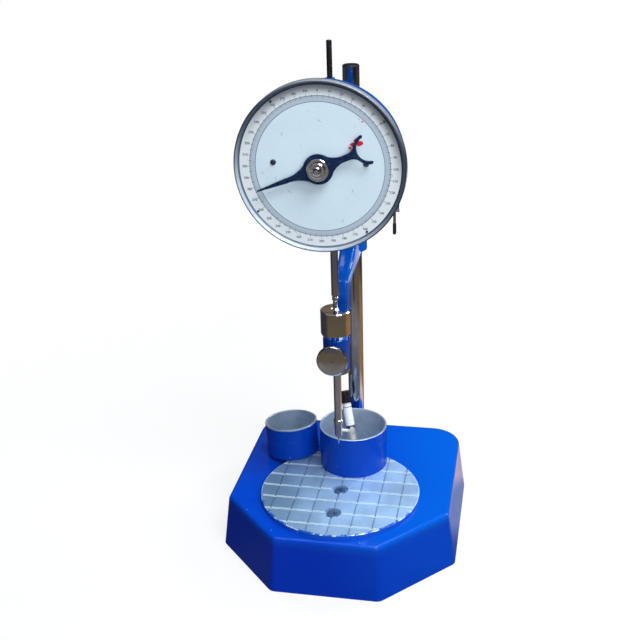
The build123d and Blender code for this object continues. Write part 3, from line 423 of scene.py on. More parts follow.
class Graph:
    """Node tree of a material or of the surroundings, with short calls for the nodes that finishes share."""

    def __init__(self, owner: Material | bpy.types.World) -> None:
        """Take up the owner's nodes.

        Args:
            owner: material or surroundings.
        """
        owner.use_nodes = True
        self.nodes = owner.node_tree.nodes
        self.links = owner.node_tree.links

    @cached_property
    def object(self) -> Term:
        """Object coordinates."""
        return Term(self, self.nodes.new("ShaderNodeTexCoord").outputs["Object"])

    def put(self, socket: bpy.types.NodeSocket, value: Value) -> None:
        """Link a socket, or set its own value.

        Args:
            socket: input of a node.
            value: term to link, or number or colour to set.
        """
        if isinstance(value, Term):
            self.links.new(value.socket, socket)
        elif isinstance(value, tuple) and socket.type == "RGBA":
            socket.default_value = (*value, 1.0)
        else:
            socket.default_value = value

    def add(self, kind: str, inputs: dict[int | str, Value], **options: str) -> list[Term]:
        """Add a node.

        Args:
            kind: type of the node.
            inputs: value of each input that is set, by number or name.
            options: settings of the node.

        Returns:
            Its outputs.
        """
        node = self.nodes.new("ShaderNode" + kind)
        for key, option in options.items():
            setattr(node, key, option)
        for key, value in inputs.items():
            self.put(node.inputs[key], value)
        return [Term(self, socket) for socket in node.outputs]

    def surface(self, **values: Value) -> None:
        """Set inputs of the Principled shader.

        Args:
            values: value of each input, named in lower case with _ for each space.
        """
        inputs = self.nodes["Principled BSDF"].inputs
        known = {socket.name.lower().replace(" ", "_"): socket for socket in inputs}
        for key, value in values.items():
            self.put(known[key], value)

    def show(self, shader: Term) -> None:
        """Make a shader the surface of the material."""
        self.put(self.nodes["Material Output"].inputs["Surface"], shader)

    def mix(self, share: Term, first: Term, second: Term) -> Term:
        """Return a shader between two, by a share from 0 to 1."""
        return self.add("MixShader", {0: share, 1: first, 2: second})[0]

    def seen(self) -> Term:
        """Return 1 for rays from the camera, from mirrors and through glass."""
        path = self.nodes.new("ShaderNodeLightPath").outputs
        return reduce(Term.peak, [Term(self, path[ray]) for ray in SIGHT])

    def blend(self, share: Value, first: Value, second: Value) -> Term:
        """Return a colour between two, by a share from 0 to 1."""
        return self.add("Mix", {0: share, 6: first, 7: second}, data_type="RGBA")[2]

    def layers(self, tint: Value, *coats: tuple[Value, Value]) -> Value:
        """Lay coats over a colour in order.

        Args:
            tint: colour below.
            coats: share from 0 to 1 and colour of each coat.

        Returns:
            The colour on top.
        """
        for share, colour in coats:
            tint = self.blend(share, tint, colour)
        return tint

    def local(self, place: Place, stretch: Triple = (1.0, 1.0, 1.0)) -> Term:
        """Return Object coordinates seen from a place, in metres, divided by a length for each local axis."""
        inputs = {"Vector": self.object, "Location": tuple(value * MM for value in place.origin),
                  "Rotation": tuple(place.turn().to_euler()), "Scale": stretch}
        return self.add("Mapping", inputs, vector_type="TEXTURE")[0]

    def split(self, vector: Term) -> list[Term]:
        """Return the three parts of a vector."""
        return self.add("SeparateXYZ", {0: vector})

    def join(self, x: Value, y: Value, z: Value) -> Term:
        """Return a vector of three parts."""
        return self.add("CombineXYZ", {0: x, 1: y, 2: z})[0]

    def reach(self, x: Term, y: Term) -> Term:
        """Return the distance from the local axis, the root of x x + y y."""
        return (x * x + y * y).sum(Sum.ROOT)

    def noise(self, scale: float, detail: float = 2.0, rough: float = 0.5,
              vector: Term | None = None) -> Term:
        """Return a noise of about 0.3 to 0.7 with finer layers, on a vector or on Object coordinates."""
        inputs = {"Vector": vector or self.object, "Scale": scale, "Detail": detail, "Roughness": rough}
        return self.add("TexNoise", inputs)[0]

    def specks(self, scale: float, size: float, share: float, flat_on: Term | None = None) -> Term:
        """Return a mask of round specks: cells of a Voronoi texture, of which only a share holds a speck.

        Args:
            scale: number of cells in one unit of the coordinates.
            size: radius of a speck as a share of its cell.
            share: share of the cells that hold one.
            flat_on: coordinates of which only x and y count, Object coordinates in space if none are given.

        Returns:
            Value, 1 inside a speck.
        """
        inputs = {"Vector": flat_on or self.object, "Scale": scale}
        distance, colour, *_ = self.add("TexVoronoi", inputs, voronoi_dimensions="2D" if flat_on else "3D")
        return (self.split(colour)[0] < share) * distance.span(size, 0.6 * size)

    def bump(self, height: Term, depth_mm: float, base: Term | None = None) -> Term:
        """Return a normal that a height of 0 to 1 bends as a relief of a depth does, over a coarser one."""
        under = {"Normal": base} if base else {}
        return self.add("Bump", {"Distance": depth_mm * MM, "Height": height, **under})[0]

    def tool_marks(self, place: Place, fine: float) -> tuple[Term, Term, Term]:
        """Make the rings that a lathe leaves: noise that depends on radius and height, hardly on the angle.

        Args:
            place: axis of the turned form.
            fine: width of one ring in millimetres.

        Returns:
            Ring value, which is even at the axis, with radius and height in metres.
        """
        x, y, z = self.split(self.local(place))
        radius = self.reach(x, y)
        angle = y.sum(Sum.ARCTAN, x)
        lines = self.join(radius / (fine * MM), z / (fine * MM), abs(angle) * 0.6)
        uneven = self.noise(1.0, 3.0, 0.6, lines) - 0.5
        return uneven * radius.span_mm(0.6, 3.0) + 0.5, radius, z


def dim(tone: Triple, share: float) -> Triple:
    """Return a colour times a share."""
    return tuple(share * part for part in tone)


@dataclass(frozen=True)
class Finish:
    """Finish of pieces, whose nodes a subclass lays."""

    name: str

    def lay(self, graph: Graph) -> None:
        """Lay the nodes of the finish in a node tree."""
        raise NotImplementedError

    def on(self, *nodes: str) -> Material:
        """Give CAD nodes the finish in each of their material slots, and report them.

        Args:
            nodes: names of the nodes, none where only new pieces take the finish.

        Returns:
            The material, for new pieces of the same finish.
        """
        material = bpy.data.materials.new(self.name)
        self.lay(Graph(material))
        for name in nodes:
            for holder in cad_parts[name].material_slots:
                holder.material = material
            LOG.info("%s: %s", name, material.name)
        return material


@dataclass(frozen=True)
class Enamel(Finish):
    """Gloss enamel on a casting: soft cloudy tone, orange peel, slow waves and a few pale specks."""

    tone: Triple
    shade: Triple  # its darker clouds
    gloss: Pair = (0.08, 0.18)  # roughness of its smoothest and of its dullest spots
    peel_mm: float = 0.007
    wave_mm: float = 0.14
    shine: float = 0.3  # specular level
    dust: Triple = (0.3, 0.5, 0.85)  # its specks

    def coat(self, graph: Graph) -> tuple[Value, Term, Term]:
        """Lay the enamel itself.

        Args:
            graph: node tree of the material.

        Returns:
            Colour, roughness and normal.
        """
        cloud = graph.noise(11.0, 4.0, 0.55).span(0.36, 0.64)
        tint = graph.layers(self.shade, (cloud, self.tone), (graph.specks(120.0, 0.09, 0.1) * 0.6, self.dust))
        dull = graph.noise(55.0, 3.0, 0.6).span(0.35, 0.7, *self.gloss)
        waves = graph.bump(graph.noise(30.0, 1.0), self.wave_mm)
        return tint, dull, graph.bump(graph.noise(620.0), self.peel_mm, waves)

    def lay(self, graph: Graph) -> None:
        """Lay the nodes of the enamel in a node tree."""
        tint, dull, peel = self.coat(graph)
        graph.surface(base_color=tint, roughness=dull, normal=peel, specular_ior_level=self.shine)


@dataclass(frozen=True)
class FadedEnamel(Enamel):
    """Enamel with painted light and shade: darker low down and on the left, lighter high up and on the right,
    as the light falls.
    """

    # painted shade low down and on the left, and painted light high up and on the right
    deep: Triple = (0.0005, 0.03, 0.46)
    faded: Triple = (0.0008, 0.105, 0.6)
    across: Pair = (-40.0, 130.0)  # sideways span of the change
    up: Pair = (46.0, 58.0)  # upright span of the change

    def coat(self, graph: Graph) -> tuple[Value, Term, Term]:
        """Lay the enamel and its painted light and shade.

        Args:
            graph: node tree of the material.

        Returns:
            Colour, roughness and normal.
        """
        tint, dull, peel = super().coat(graph)
        x, _, z = graph.split(graph.object)
        # share of painted light, growing to the right and upward
        light_side = x.span_mm(*self.across, 0.0, 0.5) + z.span_mm(*self.up, 0.0, 0.5)
        shaded_share, lit_share = light_side.span(0.5, 0.0, 0.0, 0.9), light_side.span(0.5, 1.0, 0.0, 0.9)
        return graph.layers(tint, (shaded_share, self.deep), (lit_share, self.faded)), dull, peel


@dataclass(frozen=True, kw_only=True)
class CupFinish(Enamel):
    """Cup with enamel outside and bare turned metal inside and on its rim."""

    place: Place  # middle of the foot, and the axis
    radius: float  # outside radius
    height: float
    metal: Triple = (0.56, 0.68, 0.84)
    stain: Triple = (0.12, 0.13, 0.14)

    def lay(self, graph: Graph) -> None:
        """Lay the two finishes, parted at the rim.

        Args:
            graph: node tree of the material.
        """
        tint, dull, peel = self.coat(graph)
        rings, radius, height = graph.tool_marks(self.place, 0.35)
        ragged = height + graph.noise(260.0, 3.0) * (0.9 * MM)
        paint = (radius.span_mm(self.radius - 0.45, self.radius - 0.35)
                 * ragged.span_mm(self.height - 0.1, self.height - 0.25))
        clean = graph.noise(42.0, 4.0, 0.6).span(0.3, 0.72, 0.7, 1.05)
        worn = graph.blend(rings.span(0.3, 0.7), dim(self.metal, 0.84), self.metal)
        tint = graph.layers(self.stain, (clean, worn), (paint, tint))
        graph.surface(base_color=tint, metallic=0.6 - paint * 0.6, roughness=paint * -0.2 + (dull + 0.18),
                      normal=graph.bump(rings, 0.006, peel), specular_ior_level=0.2)


@dataclass(frozen=True)
class BedFinish(Finish):
    """Machined bed: ground top with cross grain, dirt and a painted sheen, burrs with a painted highlight,
    painted light and shade in the grooves, a blue-painted edge.
    """

    place: Place  # middle of the top
    radius: float = 84.5
    pitch: float = 22.0  # distance between grooves
    groove: float = 0.8  # half width of a groove
    metal: Triple = (0.15, 0.27, 0.44)  # ground top, where no painted sheen lies over it
    bright: Triple = (0.36, 0.57, 0.86)  # painted sheen, lighter towards the right
    dirt: Triple = (0.03, 0.05, 0.09)  # its dull clouds
    burr: Triple = (0.7, 0.88, 0.98)  # bare burrs on the sideways groove edges and the rim, brightened as a painted highlight
    across: Triple = (0.08, 0.14, 0.23)  # painted shade in the grooves that run from front to back
    along: Triple = (0.78, 0.92, 0.99)  # painted light in the grooves that run sideways
    creep: Triple = (0.01, 0.13, 0.6)  # paint that has crept onto the front of the top
    paint: Triple = (0.004, 0.09, 0.6)  # the edge

    def edge_distance(self, along: Term) -> Term:
        """Return the distance in millimetres from the middle of the nearest groove across one direction."""
        cells = along / (self.pitch * MM) + 0.5
        return abs(cells.sum(Sum.PART) - 0.5) * self.pitch

    def lay(self, graph: Graph) -> None:
        """Lay the zones of the bed.

        Args:
            graph: node tree of the material.
        """
        x, y, z = graph.split(graph.local(self.place))
        radius = graph.reach(x, y)
        rows, columns = self.edge_distance(y), self.edge_distance(x)
        in_groove = (self.groove + 0.1, self.groove - 0.1)
        cloud = graph.noise(38.0, 4.0, 0.6).span(0.32, 0.7)
        ragged = graph.noise(300.0, 3.0) * 1.4
        # Painted highlight over bare burrs on the edges of the sideways grooves and on the rim.
        burr = (rows - ragged).span(self.groove + 0.35, self.groove - 0.35) * (z > -0.4 * MM)
        rim = (radius + ragged * MM).span_mm(self.radius - 0.4, self.radius) * (z > -0.6 * MM)
        sunk = z.span_mm(-0.2, -0.5)
        worn = graph.noise(170.0, 4.0, 0.7).span(0.35, 0.65, -0.6, 3.4)
        crept = (radius + worn * MM).span_mm(self.radius + 0.3, self.radius + 0.6) * y.span_mm(0.0, -40.0)
        chips = graph.noise(420.0, 3.0, 0.65).span(0.58, 0.66)
        side = radius.span_mm(self.radius - 0.3, self.radius - 0.1) * z.span_mm(-0.6, -1.1) * (1.0 - chips)
        # Painted sheen towards the right, painted light in the sideways grooves and painted shade in the
        # others.
        tint = graph.layers(
            self.metal, (x.span_mm(-75.0, 15.0), self.bright), (cloud.span(0.0, 1.0, 0.16, 0.0), self.dirt),
            (burr.peak(rim) * 0.85, self.burr), (sunk * columns.span(*in_groove) * 0.5, self.across),
            (sunk * rows.span(*in_groove) * 0.85, self.along), (crept, self.creep), (side, self.paint))
        grain = graph.noise(1.0, 3.0, 0.6, graph.local(self.place, (0.03, 0.0004, 1.0)))
        graph.surface(base_color=tint, roughness=cloud.span(0.0, 1.0, 0.36, 0.5), metallic=0.3 - side * 0.3,
                      normal=graph.bump(grain, 0.008))


FAR_UP = 1000.0  # height in millimetres that no piece reaches


@dataclass(frozen=True)
class TurnedMetal(Finish):
    """Bare or plated metal with lathe rings, faint stains, a slow waviness and, past a height, a painted dark
    reflection on its end.
    """

    tone: Triple
    place: Place  # axis of the rings
    polish: Pair  # roughness of its brightest and of its dullest spots
    ring_mm: float = 0.3  # width of one ring
    relief_mm: float = 0.003  # depth of the rings
    stain: float = 0.3  # share by which stains darken it
    metallic: float = 1.0
    dark_from: float = FAR_UP  # height along the axis from which the end is painted dark and dull, as a painted dark reflection
    # colour of the painted dark reflection on the end
    dark: Triple = (0.03, 0.03, 0.035)

    def lay(self, graph: Graph) -> None:
        """Lay stains, rings and waves.

        Args:
            graph: node tree of the material.
        """
        rings, _, height = graph.tool_marks(self.place, self.ring_mm)
        # painted dark reflection on the end
        end = height.span_mm(self.dark_from, self.dark_from + 0.3)
        cloud = graph.noise(70.0, 4.0, 0.6).span(0.3, 0.7)
        tint = graph.layers(dim(self.tone, 1 - self.stain), (cloud, self.tone), (end, self.dark))
        dull = (cloud * -0.25 + rings).span(0.15, 0.6, *self.polish) + end * 0.4
        waves = graph.bump(graph.noise(60.0, 1.0), 0.03)
        graph.surface(base_color=tint, metallic=self.metallic, roughness=dull,
                      normal=graph.bump(rings, self.relief_mm, waves))


def chrome(name: str, place: Place, polish: Pair = (0.05, 0.14), dark_from: float = FAR_UP) -> TurnedMetal:
    """Return chrome plating with rings about an axis, which is painted dark from a height on, as a painted
    dark reflection.
    """
    return TurnedMetal(name, (0.78, 0.77, 0.76), place, polish, relief_mm=0.0012, stain=0.12,
                       dark_from=dark_from)


@dataclass(frozen=True)
class BezelFinish(Finish):
    """Satin ring with turning lines, tarnish on its cone, painted shade towards the upper right, nicks, and a
    dark edge with a painted highlight on top.
    """

    place: Place  # middle of the dial
    inner: float  # inner radius
    outer: float  # outer radius
    front: Pair = (46.0, 48.0)  # heights over which the painted highlight on the edge sets in
    tone: Triple = (0.68, 0.77, 0.89)
    # tarnish on the cone, and painted shade towards the upper right
    tarnish: Triple = (0.02, 0.032, 0.07)
    edge: Triple = (0.012, 0.02, 0.035)
    rubbed: Triple = (0.3, 0.34, 0.4)  # painted highlight on the edge's top
    nick: Triple = (0.02, 0.025, 0.035)

    def lay(self, graph: Graph) -> None:
        """Lay the zones of the ring.

        Args:
            graph: node tree of the material.
        """
        rings, radius, height = graph.tool_marks(self.place, 0.22)
        x, y, _ = graph.split(graph.local(self.place))
        cloud = graph.noise(48.0, 4.0, 0.6).span(0.3, 0.7)
        cone = radius.span_mm(self.inner + 1.7, self.inner + 1.2)
        # Painted shade, darker towards the upper right.
        shade_upper_right = (x * 0.45 + y * 0.9).span_mm(-78.0, 10.0, 0.0, 0.9)
        # Painted highlight on the top of the outer edge.
        lit_top = (x * 0.31 + y * 0.95).span_mm(0.35 * self.outer, self.outer) * height.span_mm(*self.front)
        rim = radius.span_mm(self.outer - 1.5, self.outer - 0.9)
        tint = graph.layers(
            dim(self.tone, 0.82), (cloud, self.tone), (cone * 0.75, self.tarnish), (shade_upper_right, self.tarnish),
            (rim * 0.85, graph.blend(lit_top, self.edge, self.rubbed)),
            (graph.specks(210.0, 0.2, 0.05) * 0.8, self.nick))
        graph.surface(base_color=tint, metallic=0.15, roughness=rings.span(0.3, 0.7, 0.3, 0.46),
                      normal=graph.bump(rings, 0.006), specular_ior_level=0.3)


@dataclass(frozen=True)
class DialFinish(Finish):
    """White enamel of the dial plate: clouds, specks, scratches, a painted shadow of the bezel near the top
    and a grey band.
    """

    place: Place  # middle of the dial
    tone: Triple
    band: Pair  # inner and outer radius of the scale band
    rim: Triple = (0.87, 0.88, 0.9)  # outside the band
    grey: Triple = (0.36, 0.41, 0.5)  # the band
    # painted shadow of the bezel on the plate
    grime: Triple = (0.2, 0.21, 0.235)
    marks: Triple = (0.2, 0.23, 0.3)  # specks and scratches
    grain: Triple = (0.42, -0.68, 0.6)  # direction of the fine scratches
    nicks: Pair = (1.25, -0.6)  # angles of the longer scratches
    cell: Pair = (6.0, 34.0)  # width and length of the field that holds one of them

    def lay(self, graph: Graph) -> None:
        """Lay the zones of the plate and its marks.

        Args:
            graph: node tree of the material.
        """
        here = graph.local(self.place)
        x, y, _ = graph.split(here)
        radius = graph.reach(x, y)
        low, high = self.band
        cloud = graph.noise(16.0, 4.0, 0.55).span(0.3, 0.7)
        rim = radius.span_mm(high - 0.1, high + 0.1)
        band = radius.span_mm(low - 0.1, low + 0.1) * radius.span_mm(high + 0.1, high - 0.1)
        # Painted shadow of the bezel, on the upper rim of the plate.
        grime = radius.span_mm(65.5, 75.0) * (x * 0.25 + y * 0.97).span_mm(-10.0, 60.0)
        along_grain = graph.local(Place(self.place.origin, self.grain), (0.0006, 0.02, 0.0006))
        fine = graph.noise(1.0, 1.0, vector=along_grain)
        marks = (graph.specks(120.0, 0.055, 0.06, here) * 0.7).peak(fine.span(0.735, 0.76) * 0.5)
        for turn in self.nicks:
            sine, cosine = math.sin(turn), math.cos(turn)
            across, along = y * cosine - x * sine, x * cosine + y * sine
            cells = graph.join(across / (self.cell[0] * MM), along / (self.cell[1] * MM), 0.0)
            marks = marks.peak(graph.specks(1.0, 0.075, 0.07, cells) * 0.5)
        tint = graph.layers(
            dim(self.tone, 0.95), (cloud, self.tone), (rim * 0.7, self.rim), (band * 0.6, self.grey),
            (grime * 0.92, self.grime), (marks, self.marks))
        graph.surface(base_color=tint, roughness=graph.noise(90.0, 3.0).span(0.3, 0.7, 0.34, 0.5),
                      specular_ior_level=0.4, normal=graph.bump(graph.noise(700.0), 0.003))


@dataclass(frozen=True)
class DarkFinish(Finish):
    """Dark skin on metal or plastic: blued, blackened or moulded, rubbed paler in patches."""

    tone: Triple
    rubbed: Triple
    metallic: float
    gloss: Pair  # roughness of its smoothest and of its dullest spots
    grain_mm: float = 0.004  # depth of its fine grain

    def lay(self, graph: Graph) -> None:
        """Lay the skin, its wear and its grain.

        Args:
            graph: node tree of the material.
        """
        wear = graph.noise(190.0, 5.0, 0.65).span(0.5, 0.78)
        dull = graph.noise(330.0, 3.0, 0.6).span(0.3, 0.7, *self.gloss)
        graph.surface(base_color=graph.blend(wear, self.tone, self.rubbed), metallic=self.metallic,
                      roughness=dull, normal=graph.bump(graph.noise(1500.0), self.grain_mm))


@dataclass(frozen=True)
class InkFinish(Finish):
    """Printed or brushed colour with slightly uneven cover."""

    tone: Triple
    thin: Triple  # where the cover is thin
    gloss: float = 0.5  # roughness

    def lay(self, graph: Graph) -> None:
        """Lay the colour and its cover in a node tree."""
        cover = graph.noise(900.0, 4.0, 0.7).span(0.52, 0.78)
        graph.surface(base_color=graph.blend(cover, self.tone, self.thin), roughness=self.gloss)


@dataclass(frozen=True)
class GlassFinish(Finish):
    """Milky glass with faint draw lines and a painted highlight: one whiter streak along the tube."""

    place: Place  # foot and axis of the tube
    streak: float = -1.2  # angle of the painted highlight streak about the axis, between -3 and 3
    milk: tuple[Triple, Triple] = ((0.6, 0.62, 0.62), (0.72, 0.74, 0.75))  # between draw lines and on them
    white: Triple = (0.98, 0.99, 1.0)  # the painted highlight streak

    def lay(self, graph: Graph) -> None:
        """Lay the glass, its lines and its streak.

        Args:
            graph: node tree of the material.
        """
        lines = graph.noise(1.0, vector=graph.local(self.place, (0.0012, 0.0012, 0.06)))
        x, y, _ = graph.split(graph.local(self.place))
        # Painted highlight: a whiter streak at one angle about the axis.
        off_highlight = abs(y.sum(Sum.ARCTAN, x) - self.streak)
        tint = graph.layers(self.milk[0], (lines, self.milk[1]), (off_highlight.span(0.55, 0.3), self.white))
        graph.surface(base_color=tint, roughness=lines.span(0.35, 0.7, 0.02, 0.09), transmission_weight=0.4,
                      ior=1.47, normal=graph.bump(lines, 0.01))


@dataclass(frozen=True)
class LabelFinish(Finish):
    """White film sleeve with plain printed rules and bars round it."""

    place: Place  # foot and axis of the vial
    span: Pair  # heights of the sleeve's two ends
    bars: tuple[Pair, ...]  # middle height and half width of each
    rule_mm: float = 3.4  # distance between the rules
    ink: Triple = (0.012, 0.016, 0.1)
    film: tuple[Triple, Triple] = ((0.86, 0.88, 0.92), (0.94, 0.95, 0.97))  # soiled and clean

    def lay(self, graph: Graph) -> None:
        """Lay the film and its print.

        Args:
            graph: node tree of the material.
        """
        x, y, z = graph.split(graph.local(self.place))
        low, high = self.span
        bars = [abs(z - middle * MM).span_mm(half + 0.08, half - 0.08) for middle, half in self.bars]
        dash = graph.noise(1.0, 1.0, vector=graph.join(y.sum(Sum.ARCTAN, x) * 3.4, z * 420.0, 0.0))
        rows = (z / (self.rule_mm * MM)).sum(Sum.PART)
        inside = z.span_mm(low + 7.0, low + 7.6) * z.span_mm(high - 8.0, high - 8.6)
        rule = rows.span(0.7, 0.76) * dash.span(0.5, 0.54) * inside
        clean = graph.noise(120.0, 4.0).span(0.35, 0.7)
        inked = reduce(Term.peak, [*bars, rule * 0.28])
        tint = graph.layers(self.film[0], (clean, self.film[1]), (inked, self.ink))
        graph.surface(base_color=tint, roughness=clean.span(0.0, 1.0, 0.5, 0.34),
                      normal=graph.bump(graph.noise(380.0), 0.02))


@dataclass(frozen=True)
class FloorPaper(Finish):
    """Paper that is white where it is seen, but for a soft shadow in the middle, and throws little light."""

    paper: tuple[Triple, Triple] = ((0.86, 0.87, 0.88), (0.9, 0.9, 0.9))  # two colours of its grain
    faint: Triple = (0.14, 0.14, 0.15)  # what throws light back

    def lay(self, graph: Graph) -> None:
        """Lay the paper and what each kind of ray finds of it.

        Args:
            graph: node tree of the material.
        """
        grain = graph.noise(260.0, 3.0).span(0.3, 0.7)
        graph.surface(base_color=graph.blend(grain, *self.paper), roughness=0.9, specular_ior_level=0.0)
        paper = Term(graph, graph.nodes["Principled BSDF"].outputs[0])
        x, y, _ = graph.split(graph.object)
        white = graph.add("Emission", {})[0]
        lit = graph.mix(graph.reach(x, y).span(0.35, 0.8, 0.78, 1.0), paper, white)
        graph.show(graph.mix(graph.seen(), graph.add("BsdfDiffuse", {"Color": self.faint})[0], lit))


@dataclass(frozen=True)
class CardGlow(Finish):
    """Glow of the card that polished metal mirrors: brown, with zones by distance, height and direction."""

    def lay(self, graph: Graph) -> None:
        """Lay the zones, in metres: the floor from the object outward, the sides, the roof, two pale patches.

        Args:
            graph: node tree of the material.
        """
        x, y, z = graph.split(graph.object)
        turn = x.sum(Sum.ARCTAN, y * -1.0)
        away = graph.reach(x, y)
        close = graph.blend(away.span(0.16, 0.18), (0.35, 0.4, 0.52), (0.88, 0.71, 0.67))
        right = graph.layers((0.34, 0.19, 0.09), (away.span(0.6, 0.8), (0.05, 0.042, 0.045)),
                             (away.span(0.34, 0.26), close))
        behind = graph.blend(z.span(0.2, 0.4), (0.085, 0.08, 0.085), (0.022, 0.02, 0.024))
        shelf = z.span(0.78, 0.84) * z.span(1.02, 0.96) * turn.span(-2.2, -2.6) * turn.span(-3.02, -2.96)
        streak = turn.span(2.8, 2.95) * turn.span(3.14, 3.08) * (away.span(0.74, 0.82) * z.span(0.1, 0.05))
        tint = graph.layers(
            (0.125, 0.10, 0.065),
            (away.span(0.55, 0.45), (0.205, 0.195, 0.21)),
            (away.span(0.4, 0.2), (0.085, 0.095, 0.125)),
            (away.span(0.76, 0.86), (0.075, 0.07, 0.095)),
            (away.span(1.0, 1.2), (0.2, 0.195, 0.19)),
            (z.span(0.13, 0.2), (0.012, 0.014, 0.025)),
            (turn.span(1.35, 1.75), right),
            (turn.span(2.5, 2.65), behind),
            (turn.span(-0.7, -1.3), (0.04, 0.04, 0.055)),
            (turn.span(-2.0, -2.5), behind),
            (shelf, (0.2, 0.155, 0.12)),
            (z.span(1.5, 1.9), (0.28, 0.3, 0.33)),
            (streak, (2.2, 2.4, 2.6)))
        graph.show(graph.add("Emission", {"Color": tint})[0])


# Sub-assemblies


# Painted light and shade: the base darker low and on the left and lighter high and on the right; the head
# darker below 252 mm as painted shade and lighter above 290 mm as painted light.
BASE_BLUE = FadedEnamel("base_enamel", (0.0008, 0.06, 0.54), (0.0006, 0.05, 0.48))
HEAD_BLUE = FadedEnamel("head_enamel", (0.0006, 0.05, 0.36), (0.0005, 0.042, 0.31), shine=0.45,
                        across=(-400.0, -300.0), up=(252.0, 290.0))
CUP_BLUE = ((0.0008, 0.06, 0.52), (0.0006, 0.05, 0.44))
BRASS = (0.7, 0.5, 0.22)
RUBBED_BLACK = (0.3, 0.3, 0.31)
PLUNGER_LINE = Place((0.0, -34.0, 0.0))


@dataclass
class BaseUnit:
    """Cast base with its machined bed, the bed's screws, the column and the parts that hold the column."""

    column: Place = Place((0.0, 80.8, 0.0))  # axis of the column
    column_end: float = 491.0  # height from which its end is painted dark, as a painted dark reflection
    bed: Place = Place((0.0, -34.0, 64.0))  # middle of the bed's top

    def build(self) -> None:
        """Give the base's nodes their finishes."""
        BASE_BLUE.on("base_casting")
        BedFinish("ground_bed", self.bed).on("bed_plate")
        DarkFinish("bed_screw_steel", (0.09, 0.17, 0.32), (0.3, 0.42, 0.6), 0.6, (0.3, 0.5)).on("bed_screws")
        chrome("column_chrome", self.column, dark_from=self.column_end).on("column")
        fixing = TurnedMetal("column_fixing", (0.5, 0.5, 0.51), self.column, (0.25, 0.45))
        fixing.on("column_nut", "column_washer")
        TurnedMetal("collar_brass", BRASS, self.column, (0.25, 0.4)).on("column_bush")


@dataclass
class HeadUnit:
    """Head casting with the screws of the dial case and the clamp on the column."""

    clamp: Place = Place((0.0, 80.8, 346.0), Facing.RIGHT.value)  # axis of the clamp screw
    clamp_thread: Thread = Thread(4.0, 0.32, 1.5, (22.3, 37.7))
    bar: Place = Place((44.2, 80.8, 0.0))  # axis of the tommy bar
    screw_head: SlottedHead = SlottedHead(3.6, 2.4, 0.45)  # of each case screw
    screw_rows: Pair = (365.0, 393.0)  # heights of the case screws
    screw_columns: Pair = (-25.0, 13.0)  # their sideways places
    screw_seat: float = -6.0  # place of their seats from front to back

    def build(self) -> None:
        """Dress the head's nodes, and make the clamp's thread and the slotted heads of the case screws."""
        HEAD_BLUE.on("head_casting", "dial_case")
        steel = TurnedMetal("clamp_steel", (0.56, 0.55, 0.54), self.clamp, (0.16, 0.34)).on("clamp_screw")
        TurnedMetal("bar_steel", (0.7, 0.7, 0.7), self.bar, (0.1, 0.22)).on("tommy_bar")
        moulding = DarkFinish("bar_end_moulding", (0.012, 0.012, 0.014), (0.035, 0.035, 0.04), 0.0,
                              (0.25, 0.42), 0.01)
        moulding.on("tommy_bar_ends")
        thread = self.clamp_thread.shape(self.clamp)
        add_piece(mesh_of("clamp_thread", [thread], THREAD_SHARP), steel, "clamp")
        heads = [self.screw_head.shape(Place((x, self.screw_seat, z), Facing.BACK.value))
                 for x in self.screw_columns for z in self.screw_rows]
        black = DarkFinish("case_screw_black", (0.045, 0.045, 0.05), RUBBED_BLACK, 0.85, (0.28, 0.45)).on()
        piece = add_piece(mesh_of("case_screw_heads", heads), black, "head")
        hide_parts("case_screws")


